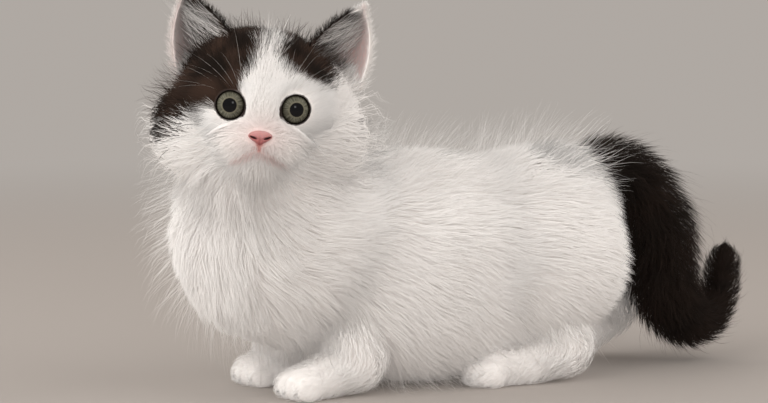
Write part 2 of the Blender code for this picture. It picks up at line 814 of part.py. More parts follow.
def add_limb(name, clearance):
    paw_forms, leg_forms = LIMBS[name]
    kind, side = name.split("_")
    whole = voxel_body(paw_forms + leg_forms, 1.3)
    settle(whole, lambda points: outside_limb(name, points))
    thin_out(whole, LIMB_TRIANGLES)
    boolean(whole, half_space((0, 0, 0), (0, 0, -1)), "INTERSECT")
    boolean(whole, copy_of(clearance, "cut"), "DIFFERENCE")
    cleaned(whole)
    paw = copy_of(whole, kind + "paw_" + side)
    leg = whole
    leg.name = kind + "leg_" + side
    if kind == "fore":
        wrist = np.array([paw_forms[0]["centre"][0] + 8, 0, 11])
        away = Vector((0.75, 0, 1)).normalized()
    else:
        wrist = np.array([paw_forms[0]["end"][0] + 6, 0, 12])
        away = Vector((0.5, 0, 0.85)).normalized()
    away = np.array(away)
    boolean(paw, half_space(wrist - away * GAP / 2, away), "INTERSECT")
    boolean(leg, half_space(wrist + away * GAP / 2, -away), "INTERSECT")
    cleaned(paw)
    cleaned(leg)


# Tail: a thick brush of hair round a thin tail, hanging in a J with its end turned up
TAIL_PATH = [(108, 3, 98), (123, 1, 98), (137, -2, 88), (147, -4, 67), (150, -4, 46), (158, -4, 27),
             (173, -3, 20), (185, -2, 30), (190, 0, 48)]
TAIL_GIRTH = [(0, 14.0), (0.2, 19.0), (0.42, 20.5), (0.6, 18.0), (0.72, 14.5), (0.85, 11.0), (1.0, 9.0)]
TAIL_SEAMS = (0.0, 0.38, 0.68, 1.0)


TAIL_FLESH = 4.0


def tail_radius(share):
    places, radii = zip(*TAIL_GIRTH)
    return np.interp(share, places, radii)


def tail_core(share):
    return TAIL_FLESH + CORE_SHARE * (tail_radius(share) - TAIL_FLESH)


def nearest_on_tail(points, first=0.0, last=1.0):
    """Distance to the tail's middle line, and the share of its length at the nearest place."""
    shares = np.linspace(first, last, 60)
    line = tail_line(shares)
    apart = np.linalg.norm(points[:, None, :] - line[None, :, :], axis=2)
    nearest = apart.argmin(axis=1)
    return apart[np.arange(len(points)), nearest], shares[nearest]


def tail_line(shares):
    count = 200
    whole = smooth_path(TAIL_PATH, count)
    every = np.linspace(0, 1, count)
    return np.stack([np.interp(shares, every, whole[:, i]) for i in range(3)], axis=1)


def tail_heading(shares):
    step = 0.004
    ahead = tail_line(np.minimum(shares + step, 1)) - tail_line(np.maximum(shares - step, 0))
    return ahead / np.linalg.norm(ahead, axis=1)[:, None]


def tail_distance(points):
    apart, share = nearest_on_tail(points, 0.12)
    return apart - tail_radius(share)


def add_tail(clearance):
    names = ("tail_base", "tail_middle", "tail_tip")
    random = np.random.default_rng(SEED + 1)
    for index, name in enumerate(names):
        start, end = TAIL_SEAMS[index:index + 2]
        step = GAP / 2 / 180
        shares = np.linspace(start + (step if start > 0 else 0), end - (step if end < 1 else 0), 7)
        path, along, radii = tail_line(shares), tail_heading(shares), tail_core(shares)
        if end == 1:
            rounding = np.array([0.9, 0.6, 0.25])
            reach = radii[-1] * np.sqrt(1 - rounding ** 2)
            path = np.vstack([path, path[-1] + reach[:, None] * along[-1]])
            along = np.vstack([along, np.tile(along[-1], (len(rounding), 1))])
            radii = np.append(radii, radii[-1] * rounding)
        piece = tube(name, path, along, radii, 12)

        def heights(points, start=start, end=end):
            apart, share = nearest_on_tail(points, max(start - 0.1, 0), min(end + 0.1, 1))
            return apart - tail_core(share), tail_radius(share) - tail_core(share)

        def lie(points):
            return tail_heading(nearest_on_tail(points)[1])

        def others(points, start=start, end=end):
            away = [trunk_heights(points)[0] - trunk_heights(points)[1]]
            away.append(outside_limb("hind_right", points))
            if start > 0.5:
                apart, share = nearest_on_tail(points, 0, start - 0.22)
                away.append(apart - tail_radius(share))
            elif end < 0.5:
                apart, share = nearest_on_tail(points, end + 0.22, 1)
                away.append(apart - tail_radius(share))
            return np.min(away, axis=0)

        roots = tail_roots(start, end, TAIL_LOCKS[index])
        rings = grow_locks(heights, lie, roots, others, random, 0.8)
        join_locks(piece, rings)
        if start == 0:
            boolean(piece, copy_of(clearance, "cut"), "DIFFERENCE")
        for share, side in ((start, 1), (end, -1)):
            if 0 < share < 1:
                seam = (tail_line(np.array([share]))[0], tail_heading(np.array([share]))[0])
                keep_beyond(piece, seam, side)
        cleaned(piece)


def tail_roots(start, end, count):
    """Roots wound round a length of the tail by the golden angle."""
    golden = math.pi * (3 - math.sqrt(5))
    lowest = max(start + 0.05, 0.16)
    shares = np.linspace(lowest, min(end - 0.06, 0.97), count)
    along = tail_heading(shares)
    level = np.cross(along, [0.0, 1.0, 0.0])
    level /= np.linalg.norm(level, axis=1)[:, None]
    third = np.cross(along, level)
    angle = np.arange(count) * golden
    spoke = level * np.cos(angle)[:, None] + third * np.sin(angle)[:, None]
    return tail_line(shares) + spoke * tail_core(shares)[:, None]


COLOURS = {
    "white": (0.86, 0.85, 0.83), "black": (0.03, 0.025, 0.022), "pink": (0.75, 0.36, 0.33),
    "eye": (0.16, 0.17, 0.11), "patched": (0.55, 0.53, 0.51),
}
FINISHES = {"head": "patched", "ear_left": "patched", "ear_right": "black", "nose": "pink",
            "eye_left": "eye", "eye_right": "eye", "tail_base": "black", "tail_middle": "black",
            "tail_tip": "black"}
ROUGHNESS = {"eye": 0.05, "pink": 0.5}


def finish(obj):
    look = FINISHES.get(obj.name, "white")
    material = bpy.data.materials.new(obj.name)
    material.use_nodes = True
    shader = material.node_tree.nodes["Principled BSDF"]
    shader.inputs["Base Color"].default_value = (*COLOURS[look], 1.0)
    shader.inputs["Roughness"].default_value = ROUGHNESS.get(look, 0.9)
    shader.inputs["Metallic"].default_value = 0.0
    obj.data.materials.clear()
    obj.data.materials.append(material)


def centre_on_floor():
    """The whole kitten is moved so that its box is centred over the origin, on the floor."""
    low, high = np.full(3, 1e9), np.full(3, -1e9)
    for obj in PARTS.objects:
        points = points_of(obj)
        low = np.minimum(low, points.min(axis=0))
        high = np.maximum(high, points.max(axis=0))
    move = np.array([-(low[0] + high[0]) / 2, -(low[1] + high[1]) / 2, 0.0])
    for obj in PARTS.objects:
        set_points(obj, points_of(obj) + move)


for old in list(bpy.data.objects):
    bpy.data.objects.remove(old, do_unlink=True)
PARTS = bpy.data.collections.new("munchkin_kitten")
CUTTERS = bpy.data.collections.new("cutters")
bpy.context.scene.collection.children.link(PARTS)
bpy.context.scene.collection.children.link(CUTTERS)

head_node, room_round_head, room_round_torso = add_trunk()
add_face(head_node)
for ear_sign in (-1, 1):
    add_ear(ear_sign, room_round_head)
clear_locks(head_node, [PARTS.objects["ear_left"], PARTS.objects["ear_right"]])
add_nose(room_round_head)
for limb_name in LIMBS:
    add_limb(limb_name, room_round_torso)
add_tail(room_round_torso)
nodes_round_torso = [obj for obj in PARTS.objects if obj.name.startswith(("fore", "hind", "tail_base"))]
clear_locks(PARTS.objects["torso"], nodes_round_torso)
remove(room_round_head)
remove(room_round_torso)
centre_on_floor()
for part in PARTS.objects:
    finish(part)
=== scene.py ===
import math

import bmesh
import bpy
import numpy as np
from mathutils import Matrix, Vector


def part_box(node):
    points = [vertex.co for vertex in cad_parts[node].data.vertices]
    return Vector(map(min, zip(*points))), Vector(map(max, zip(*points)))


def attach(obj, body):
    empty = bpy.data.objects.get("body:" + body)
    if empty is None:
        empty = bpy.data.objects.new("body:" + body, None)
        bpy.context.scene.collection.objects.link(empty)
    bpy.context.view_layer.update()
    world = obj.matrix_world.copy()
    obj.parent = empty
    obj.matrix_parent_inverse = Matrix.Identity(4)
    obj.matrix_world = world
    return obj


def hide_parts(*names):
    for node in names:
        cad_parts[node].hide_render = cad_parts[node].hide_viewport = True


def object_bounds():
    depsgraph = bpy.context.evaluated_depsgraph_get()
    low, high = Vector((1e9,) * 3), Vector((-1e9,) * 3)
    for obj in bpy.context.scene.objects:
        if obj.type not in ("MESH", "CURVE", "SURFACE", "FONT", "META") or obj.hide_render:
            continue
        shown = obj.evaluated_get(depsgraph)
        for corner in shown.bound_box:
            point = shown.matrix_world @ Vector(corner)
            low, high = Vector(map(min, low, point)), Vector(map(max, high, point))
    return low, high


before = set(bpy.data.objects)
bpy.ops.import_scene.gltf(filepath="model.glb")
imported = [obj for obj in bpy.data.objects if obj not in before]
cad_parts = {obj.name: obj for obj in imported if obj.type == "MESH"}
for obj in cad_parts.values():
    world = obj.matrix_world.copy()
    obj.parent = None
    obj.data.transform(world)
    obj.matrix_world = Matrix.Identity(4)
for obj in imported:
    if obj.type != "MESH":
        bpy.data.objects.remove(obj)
cadLow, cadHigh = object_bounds()
scene = bpy.context.scene

# Lengths are millimetres in the kitten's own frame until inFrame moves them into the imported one.
mm = 0.001

head = {
    "place": (-69.0, -16.0, 134.0),     # middle of the skull, level with the eyes
    "turn": 71.0,                       # degrees to its left
    "roll": 4.3,                        # degrees, left ear down
}

eye = {
    "radius": 8.0,
    "spacing": 28.0,
    "forward": 18.0,
    "moved": {-1: (1.3, -0.9), 1: (0.0, -0.9)},   # right and up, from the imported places
    "outward": 9.0,                     # degrees between each eye's axis and straight ahead
    "opening": 6.5,                     # half width between the lids
    "lid": 0.9,
    "corner": 1.7,
    "coat": 1.0,
    "iris": 6.15,
    "pupil": 3.15,
}


def unit(vectors):
    # Vectors divided by their lengths.
    return vectors / np.maximum(np.linalg.norm(vectors, axis=-1, keepdims=True), 1e-9)


def makeHeadAxes():
    # rows: the kitten's left, its crown, and straight ahead, from the turn and the roll
    turn, roll = math.radians(head["turn"]), math.radians(head["roll"])
    ahead = np.array([-math.cos(turn), -math.sin(turn), 0.0])
    level = np.array([math.sin(turn), -math.cos(turn), 0.0])
    up = np.array([0.0, 0.0, 1.0])
    side = level * math.cos(roll) - up * math.sin(roll)
    crown = up * math.cos(roll) + level * math.sin(roll)
    return np.array([side, crown, ahead])


headAxes = makeHeadAxes()


def onHead(places):
    # Head coordinates (left, up, ahead) turned into the kitten's frame.
    return np.array(head["place"]) + np.asarray(places, float) @ headAxes


def inHead(points):
    # The kitten's frame turned into head coordinates.
    return (points - np.array(head["place"])) @ headAxes.T


def eyePlace(sign):
    right, up = eye["moved"][sign]
    return onHead((sign * eye["spacing"] / 2 + right, up, eye["forward"]))


def eyeAxis(sign):
    outward = math.radians(eye["outward"])
    return headAxes[2] * math.cos(outward) + sign * headAxes[0] * math.sin(outward)


eyeLow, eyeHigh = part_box("eye_left")
packedEye = onHead((eye["spacing"] / 2, 0, eye["forward"]))
frameShift = (np.array(eyeLow) + np.array(eyeHigh)) / 2 - packedEye * mm


def inFrame(points):
    # Kitten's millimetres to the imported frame's metres: p / 1000 + shift.
    return points * mm + frameShift


middleHeight = 60.0

torso = {
    # centre, radii, depth of the coat
    "chest": ((-53, 4, 70), (38, 31, 36), 13.5),
    "withers": ((-35, 3, 78), (28, 23, 21), 12.5),
    "nape": ((-40, -3, 98), (18, 18, 13), 12.0),
    "flanks": ((16, 0, 59), (58, 32, 39.5), 13.5),
    "belly": ((14, 0, 40), (50, 27, 26), 14.0),
    "rump": ((72, 0, 62), (37, 33, 34.5), 14.5),
    "tailRoot": ((97, 4, 84), (16, 15, 16), 14.0),
    "leftHaunch": ((78, -20, 51), (24, 13, 14), 15.0),
    "rightHaunch": ((88, 20, 51), (26, 13, 15), 10.0),
}

neck = {"low": (-58, -2, 88), "high": (-67, -12, 110), "radii": (26, 23), "coat": 14.0}

face = {
    # place on the head, radii, depth of the coat; a side other than nought is mirrored
    "skull": ((0, 3, -3), (30, 25, 27), 6.5),
    "bridge": ((0, -4, 21), (6, 9, 8), 1.5),
    "chin": ((0, -23, 19), (7, 5, 7), 6.0),
    "cheek": ((18, -13, 0), (19, 15, 15), 13.0),
    "pad": ((5.5, -15.5, 23), (7.0, 6, 7.5), 2.6),
    "brow": ((14, 0, 12), (9, 9, 10), 3.0),
}

fore = {
    # side, toe tips, leg, heading of the toes in degrees
    "left": (-22, -64, -25, 188),
    "right": (22, -68, -44, 184),
}

hind = {
    # side, toe tips, hock, hip
    "left": (-27, 29, (82, -27, 16), (76, -12, 38)),
    "right": (27, 86, (141, 28, 27), (108, 15, 52)),
}

tail = {
    "path": [(108, 3, 98), (123, 1, 98), (137, -2, 88), (147, -4, 67), (150, -4, 46),
             (158, -4, 27), (173, -3, 20), (185, -2, 30), (190, 0, 48)],
    "girth": [(0, 14.0), (0.2, 19.0), (0.42, 20.5), (0.6, 18.0), (0.72, 14.5), (0.85, 11.0),
              (1.0, 9.0)],
    "flesh": 4.0,
    "samples": 30,
}

blend = {"body": 5.0, "head": 2.6, "paw": 1.0, "joins": 2.2, "coat": 6.0, "lid": 0.7, "reach": 32.0,
         "far": 80.0}


def ball(centre, radii, coat, axes=None):
    return {"centre": np.array(centre, float), "radii": np.array(radii, float), "coat": coat,
            "axes": np.eye(3) if axes is None else axes}


def limb(start, end, startRadius, endRadius, coat):
    return {"start": np.array(start, float), "end": np.array(end, float),
            "radii": (startRadius, endRadius), "coat": coat}


def toeForms(base, heading, spread, size, coat):
    # Four toes in an arc: the outer ones set back by 2.8 times (place - 0.5) to the 1.5.
    angle = math.radians(heading)
    ahead = np.array([math.cos(angle), math.sin(angle), 0.0])
    across = np.array([-ahead[1], ahead[0], 0.0])
    axes = np.array([ahead, across, [0.0, 0.0, 1.0]])
    toes = []
    for place in (-1.5, -0.5, 0.5, 1.5):
        back = 2.8 * (abs(place) - 0.5) ** 1.5
        toes.append(ball(np.array(base) + across * place * spread - ahead * back, size, coat, axes))
    return toes


def foreForms(sideY, toeX, legX, heading):
    return ([ball((toeX + 19, sideY, 7.5), (13, 9, 7), 2.2),
             ball((toeX + 17, sideY, 3.5), (9, 6.5, 4.2), 1.2)]
            + toeForms((toeX + 9, sideY, 5.6), heading, 5.6, (6.5, 3.3, 5.8), 2.0)
            + [limb((legX, sideY, 16), (legX + 2, sideY * 0.55, 46), 9, 9, 10.0),
               limb((toeX + 24, sideY, 9), (legX, sideY, 14), 8, 8, 5.0)])


def hindForms(sideY, toeX, hock, hip):
    return ([limb((toeX + 16, sideY, 8), (toeX + 34, sideY, 8.5), 7.5, 7, 5.0),
             limb((toeX + 16, sideY, 5), (toeX + 34, sideY, 5), 5.6, 5.2, 1.2)]
            + toeForms((toeX + 9, sideY, 5.6), 180, 4.1, (6.5, 3.8, 5.4), 3.4)
            + [limb((toeX + 34, sideY, 9), hock, 7, 7, 7.0), limb(hock, hip, 7, 12, 12.0)])


def faceForms():
    forms = []
    for (side, up, ahead), radii, coat in face.values():
        for sign in ((-1, 1) if side else (1,)):
            forms.append(ball(onHead((sign * side, up, ahead)), radii, coat, headAxes))
    return forms


lidForms = [ball(eyePlace(sign), [eye["radius"] + 0.25 + eye["lid"]] * 3, eye["coat"])
            for sign in (-1, 1)]
trunkForms = [ball(*form) for form in torso.values()]
trunkForms.append(limb(neck["low"], neck["high"], *neck["radii"], neck["coat"]))
trunkForms += faceForms()
legForms = {"foreLeft": foreForms(*fore["left"]), "foreRight": foreForms(*fore["right"]),
            "hindLeft": hindForms(*hind["left"]), "hindRight": hindForms(*hind["right"])}


def lengths(vectors):
    return np.sqrt(np.einsum("ij,ij->i", vectors, vectors))


def outside(form, points):
    # Distance outside a form, or a large one where the form is far off. Ball: n (n - 1) /
    # |grad n| with n = |p / radii|. Limb: the distance to its middle line less its radius there.
    if "centre" in form:
        middle, span = form["centre"], form["radii"].max()
    else:
        middle = (form["start"] + form["end"]) / 2
        span = np.abs(form["end"] - form["start"]).max() / 2 + max(form["radii"])
    apart = points - middle
    close = np.flatnonzero(np.abs(apart).max(axis=1) < span + blend["reach"])
    value = np.full(len(points), blend["far"])
    if "centre" in form:
        local = apart[close] @ form["axes"].T / form["radii"]
        near, slope = lengths(local), lengths(local / form["radii"])
        value[close] = near * (near - 1) / np.maximum(slope, 1e-9)
        return value
    along = form["end"] - form["start"]
    near = points[close] - form["start"]
    share = np.clip(near @ along / (along @ along), 0, 1)
    first, last = form["radii"]
    value[close] = lengths(near - share[:, None] * along) - first - share * (last - first)
    return value


def softest(each, width):
    # Smooth least of several distances: -w log sum exp(-d / w).
    least = each.min(axis=0)
    return least - width * np.log(np.exp(-(each - least) / width).sum(axis=0))


def weighed(each, depths):
    # Depths of the coat, weighed by how near each form is: exp(-(d - least) / spread).
    weight = np.exp(-(each - each.min(axis=0)) / blend["coat"])
    return (weight * depths).sum(axis=0) / weight.sum(axis=0)


def depthsOf(forms):
    return np.array([form["coat"] for form in forms])[:, None]


def headShare(points):
    # One in the head and nought in the body, over 20 mm below the chin.
    return np.clip((inHead(points)[:, 1] + 45) / 20, 0, 1)


def offRim(points, sign):
    # How far points stand out along an eye's axis, and off the rim of its opening: the flat
    # distance less the opening, which runs on by 1.7 mm x cos ^ 14 to the corner by the nose.
    apart = points - eyePlace(sign)
    along = apart @ eyeAxis(sign)
    flat = apart - along[:, None] * eyeAxis(sign)
    away = lengths(flat)
    corner = unit(-sign * 0.92 * headAxes[0] - 0.38 * headAxes[1])
    cosine = np.clip(flat @ corner / np.maximum(away, 1e-6), 0, 1)
    return along, away - eye["opening"] - eye["corner"] * cosine ** 14, flat


def lidShare(points):
    # One at the rims of the lids and nought 5 mm off them: 1 - (flat - opening) / 5.
    share = np.zeros(len(points))
    for sign in (-1, 1):
        near = np.flatnonzero(((points - eyePlace(sign)) ** 2).sum(axis=1) < 20 ** 2)
        along, off, _ = offRim(points[near], sign)
        share[near] = np.clip(1 - off / 5, 0, 1) * (along > -4)
    return share


sides = (((33, 3, -2), 13, 6.0), ((34, -14, 0), 12, 4.5), ((-33, -16, 0), 12, 3.0),
         ((24, -6, 15), 8, 2.8), ((-24, -6, 15), 8, 2.0))


def hollowDepth(points):
    # More coat in the hollow outside and below each lid: 3.6 exp(-((flat - 13) / 5) ^ 2)
    # times 0.35 + 0.75 outwards - 0.45 upwards, clipped to the share.
    more = np.zeros(len(points))
    for sign in (-1, 1):
        apart = points - eyePlace(sign)
        near = np.flatnonzero((apart ** 2).sum(axis=1) < 26 ** 2)
        local = apart[near] @ headAxes.T
        along = apart[near] @ eyeAxis(sign)
        flat = lengths(apart[near] - along[:, None] * eyeAxis(sign))
        way = (0.75 * sign * local[:, 0] - 0.45 * local[:, 1]) / np.maximum(flat, 1)
        share = np.clip(0.35 + way, 0, 1) * (along > -12)
        more[near] += 3.6 * np.exp(-((flat - 13) / 5) ** 2) * share
    return more


def sideDepth(points):
    # More coat beside the eyes and on the cheeks: depth x exp(-(distance / spread) ^ 2).
    more = np.zeros(len(points))
    for centre, spread, depth in sides:
        away = lengths(points - onHead(centre))
        more += depth * np.exp(-(away / spread) ** 2)
    return more


def trunkField(points):
    # Height over the flesh of the trunk and the lids, and the depth of the coat there.
    each = np.array([outside(form, points) for form in trunkForms])
    soft, crisp = softest(each, blend["body"]), softest(each, blend["head"])
    height = soft + headShare(points) * (crisp - soft)
    lids = np.min([outside(form, points) for form in lidForms], axis=0)
    share = lidShare(points)
    depth = weighed(each, depthsOf(trunkForms)) + hollowDepth(points) + sideDepth(points)
    return softest(np.array([height, lids]), blend["lid"]), depth + share * (eye["coat"] - depth)


def legField(name):
    forms = legForms[name]

    def field(points):
        each = np.array([outside(form, points) for form in forms])
        return softest(each, blend["paw"]), weighed(each, depthsOf(forms))
    return field


def smoothPath(stations, count):
    # Catmull-Rom curve through the stations, at evenly spaced lengths.
    stations = np.array(stations, float)
    padded = np.vstack([2 * stations[0] - stations[1], stations, 2 * stations[-1] - stations[-2]])
    pieces = []
    t = np.linspace(0, 1, 40, endpoint=False)[:, None]
    for i in range(1, len(padded) - 2):
        a, b, c, d = padded[i - 1:i + 3]
        pieces.append(0.5 * (2 * b + (c - a) * t + (2 * a - 5 * b + 4 * c - d) * t ** 2
                             + (3 * b - a - 3 * c + d) * t ** 3))
    line = np.vstack(pieces + [stations[-1:]])
    run = np.append(0, np.cumsum(np.linalg.norm(np.diff(line, axis=0), axis=1)))
    at = np.linspace(0, run[-1], count)
    return np.stack([np.interp(at, run, line[:, i]) for i in range(3)], axis=1)


tailLine = smoothPath(tail["path"], tail["samples"])


def alongTail(points):
    # Distance to the tail's middle line and the share of its length at the nearest place.
    best = np.full(len(points), blend["far"])
    share = np.zeros(len(points))
    count = len(tailLine) - 1
    close = np.flatnonzero(points[:, 0] > tailLine[0, 0] - blend["reach"])
    for i in range(count):
        near = points[close] - tailLine[i]
        run = tailLine[i + 1] - tailLine[i]
        t = np.clip(near @ run / (run @ run), 0, 1)
        apart = lengths(near - t[:, None] * run)
        closer = apart < best[close]
        best[close] = np.where(closer, apart, best[close])
        share[close] = np.where(closer, (i + t) / count, share[close])
    return best, share


def tailCoat(share):
    places, radii = zip(*tail["girth"])
    return np.interp(share, places, radii) - tail["flesh"]


def tailField(points):
    apart, share = alongTail(points)
    return apart - tail["flesh"], tailCoat(share)


def wholeField(points):
    # Height over all the flesh: trunk, legs and tail, smoothly joined and flat on the floor.
    fields = [trunkField(points)[0]] + [legField(name)(points)[0] for name in legForms]
    fields.append(tailField(points)[0])
    return np.maximum(softest(np.array(fields), blend["joins"]), -points[:, 2]), None


def steepest(field, points, step=0.12):
    # Height, slope and coat of a field; the slope is from three small steps.
    value, coatDepth = field(points)
    slope = np.empty_like(points)
    for axis in range(3):
        moved = points.copy()
        moved[:, axis] += step
        slope[:, axis] = (field(moved)[0] - value) / step
    return value, slope, coatDepth


def pointsOf(obj):
    points = np.empty(len(obj.data.vertices) * 3)
    obj.data.vertices.foreach_get("co", points)
    return points.reshape(-1, 3)


def setPoints(obj, points):
    obj.data.vertices.foreach_set("co", points.ravel())
    obj.data.update()


def newObject(name, mesh):
    obj = bpy.data.objects.new(name, mesh)
    scene.collection.objects.link(obj)
    return obj


def meshFromArrays(name, points, triangles):
    # A mesh of triangles from whole arrays of corners and indices, smoothly shaded.
    mesh = bpy.data.meshes.new(name)
    mesh.vertices.add(len(points))
    mesh.vertices.foreach_set("co", np.ascontiguousarray(points, np.float32).ravel())
    mesh.loops.add(triangles.size)
    mesh.loops.foreach_set("vertex_index", triangles.ravel().astype(np.int32))
    mesh.polygons.add(len(triangles))
    mesh.polygons.foreach_set("loop_start", np.arange(0, triangles.size, 3, dtype=np.int32))
    mesh.polygons.foreach_set("use_smooth", np.ones(len(triangles), bool))
    mesh.update(calc_edges=True)
    return mesh


def applied(obj):
    # The object keeps the mesh that its modifiers give.
    evaluated = obj.evaluated_get(bpy.context.evaluated_depsgraph_get())
    mesh = bpy.data.meshes.new_from_object(evaluated)
    old = obj.data
    obj.modifiers.clear()
    obj.data = mesh
    bpy.data.meshes.remove(old)


def combine(obj, other, operation):
    # Union or difference of two closed meshes; the other one is used up.
    cut = obj.modifiers.new("cut", "BOOLEAN")
    cut.operation = operation
    cut.solver = "MANIFOLD"
    cut.object = other
    applied(obj)
    mesh = other.data
    bpy.data.objects.remove(other)
    bpy.data.meshes.remove(mesh)


def gridTriangles(rows, columns, closed=True):
    # Two triangles for each cell of a grid of points; a closed grid joins its last column.
    r, c = np.meshgrid(np.arange(rows - 1), np.arange(columns if closed else columns - 1),
                       indexing="ij")
    r, c = r.ravel(), c.ravel()
    d = (c + 1) % columns
    a, b, e, f = r * columns + c, r * columns + d, (r + 1) * columns + d, (r + 1) * columns + c
    return np.vstack([np.stack([a, b, e], axis=1), np.stack([a, e, f], axis=1)])


def revolved(name, place, axes, radii, heights, around=48):
    # Surface of revolution: p = place + r (cos a, sin a) across + h along, with closed poles.
    # The first and last radius are nought.
    angle = np.linspace(0, 2 * np.pi, around, endpoint=False)
    ring = np.cos(angle)[:, None] * axes[0] + np.sin(angle)[:, None] * axes[1]
    inner = slice(1, len(radii) - 1)
    body = (place + radii[inner, None, None] * ring[None] + heights[inner, None, None] * axes[2])
    points = np.vstack([body.reshape(-1, 3), place + heights[0] * axes[2],
                        place + heights[-1] * axes[2]])
    rows = len(radii) - 2
    triangles = [gridTriangles(rows, around)]
    k = np.arange(around)
    first, last = rows * around, rows * around + 1
    triangles.append(np.stack([np.full(around, first), (k + 1) % around, k], axis=1))
    low = (rows - 1) * around
    triangles.append(np.stack([np.full(around, last), low + k, low + (k + 1) % around], axis=1))
    return newObject(name, meshFromArrays(name, points, np.vstack(triangles)))


def axesAlong(axis):
    # Three axes, the last along the given one and the first level.
    axis = unit(np.asarray(axis, float))
    first = unit(np.cross([0.0, 0.0, 1.0], axis))
    return np.array([first, np.cross(axis, first), axis])


def facingOut(obj):
    # Turns every face outwards.
    bm = bmesh.new()
    bm.from_mesh(obj.data)
    bmesh.ops.recalc_face_normals(bm, faces=bm.faces)
    bm.to_mesh(obj.data)
    bm.free()


def roundBall(name, place, radius, axes, rings=28, around=40):
    # A sphere as a surface of revolution.
    angle = np.linspace(0, np.pi, rings)
    return revolved(name, place, axes, radius * np.sin(angle), radius * np.cos(angle), around)


ear = {
    "inner": (17, 26, 4.0),             # root at the crown, on the head
    "outer": (41.5, 9, -2.0),             # root at the cheek
    "tip": (41, 46, -3.0),
    "seat": (21, 8, -3.0),              # the root runs on to here, inside the skull
    "cup": 0.42,                        # depth of the cup as a share of its width
    "bulge": 2.5,
    "wall": 1.3,
    "shift": {-1: 4.5, 1: 3.2},         # both ears sit a little to the kitten's left
}


def earPoint(sign, u, v):
    # Middle of an ear's wall. Each row is an arc from the inner to the outer rim, bowed back
    # by cup x width x sin(pi u); the rims bulge by sin(pi v) and meet in a round tip.
    u, v = np.broadcast_arrays(np.asarray(u, float), np.asarray(v, float))
    inner, outer, tip, seat = (np.array(ear[key], float)
                               for key in ("inner", "outer", "tip", "seat"))
    rise = np.clip(v, 0, 1)[..., None]
    sunk = np.clip(-v, 0, 1)[..., None]
    full = np.sin(np.pi * rise) * ear["bulge"]
    left = inner + (tip - inner) * rise + np.array([-0.6, 0.8, 0]) * full
    right = outer + (tip - outer) * rise + np.array([1.4, 0.28, 0]) * full
    narrow = np.sqrt(np.clip(1 - np.clip((rise - 0.86) / 0.14, 0, 1) ** 2, 0, 1))
    middle = (left + right) / 2
    left = middle + (left - middle) * (narrow * 0.9 + 0.1)
    right = middle + (right - middle) * (narrow * 0.9 + 0.1)
    width = np.linalg.norm(right - left, axis=-1, keepdims=True)
    bow = np.array([0.25, -0.1, -1.0]) * width * ear["cup"] * np.sin(np.pi * u)[..., None]
    place = left + (right - left) * u[..., None] + bow
    place = place + (seat - place) * sunk
    return onHead(place * np.array([sign, 1, 1]) + np.array([ear["shift"][sign], 0, 0]))


def earNormal(sign, u, v):
    # Out of the back of the ear: the cross product of its two slopes.
    h = 0.01
    across = earPoint(sign, u + h, v) - earPoint(sign, u - h, v)
    along = earPoint(sign, u, v + h) - earPoint(sign, u, v - h)
    return -sign * unit(np.cross(across, along))


def earWall(u, v):
    # Thickness: thin at the rims and the tip.
    edge = np.clip(np.minimum(u, 1 - u) / 0.12, 0, 1) ** 0.5
    return ear["wall"] * (0.35 + 0.65 * edge) * (1 - 0.45 * np.clip(v, 0, 1))


def addEar(sign):
    # Closed shell: the front and the back of the wall joined along rims, seat and tip.
    rows, columns = 44, 26
    v = np.linspace(-0.75, 0.985, rows)[:, None] + np.zeros((1, columns))
    u = np.linspace(0, 1, columns)[None, :] + np.zeros((rows, 1))
    middle, normal = earPoint(sign, u, v), earNormal(sign, u, v)
    half = earWall(u, v)[..., None] / 2
    back, front = middle + normal * half, middle - normal * half
    loop = np.concatenate([back, front[:, ::-1]], axis=1)
    count = 2 * columns
    points = np.vstack([loop.reshape(-1, 3), loop[0].mean(axis=0), loop[-1].mean(axis=0)])
    k = np.arange(count)
    low, high = rows * count, rows * count + 1
    top = (rows - 1) * count
    triangles = np.vstack([gridTriangles(rows, count),
                           np.stack([np.full(count, low), (k + 1) % count, k], axis=1),
                           np.stack([np.full(count, high), top + k, top + (k + 1) % count], axis=1)])
    obj = newObject("ear", meshFromArrays("ear", points, triangles))
    facingOut(obj)
    return obj


skinPlan = {"voxel": 1.15, "rounds": 6, "mouthDepth": 0.9, "mouthWidth": 0.7}


def formSeeds():
    # Spheres that fill every form: centre, radii and axes.
    seeds = []
    forms = trunkForms + [form for forms in legForms.values() for form in forms]
    for form in forms:
        if "centre" in form:
            seeds.append((form["centre"], form["radii"], form["axes"]))
            continue
        first, last = form["radii"]
        for t in np.linspace(0, 1, 7):
            seeds.append((form["start"] + t * (form["end"] - form["start"]),
                          np.full(3, first + t * (last - first)), np.eye(3)))
    seeds += [(place, np.full(3, tail["flesh"]), np.eye(3)) for place in smoothPath(tail["path"], 70)]
    return seeds


def seedMesh():
    # All the seeds as one mesh: p = centre + (radii x unit sphere) turned by the axes.
    seeds = formSeeds()
    rows, around = 18, 28
    a, b = np.meshgrid(np.linspace(0.02, np.pi - 0.02, rows), np.arange(around) * 2 * np.pi / around,
                       indexing="ij")
    sphere = np.stack([np.sin(a) * np.cos(b), np.sin(a) * np.sin(b), np.cos(a)], axis=-1)
    sphere = np.vstack([sphere.reshape(-1, 3), [[0, 0, 1], [0, 0, -1]]])
    k = np.arange(around)
    top, bottom, low = rows * around, rows * around + 1, (rows - 1) * around
    triangles = np.vstack([gridTriangles(rows, around)[:, ::-1],
                           np.stack([np.full(around, top), k, (k + 1) % around], axis=1),
                           np.stack([np.full(around, bottom), low + (k + 1) % around, low + k], axis=1)])
    points = [centre + (sphere * radii) @ axes for centre, radii, axes in seeds]
    shifts = np.arange(len(seeds))[:, None, None] * len(sphere)
    return meshFromArrays("seeds", np.vstack(points), (triangles[None] + shifts).reshape(-1, 3))


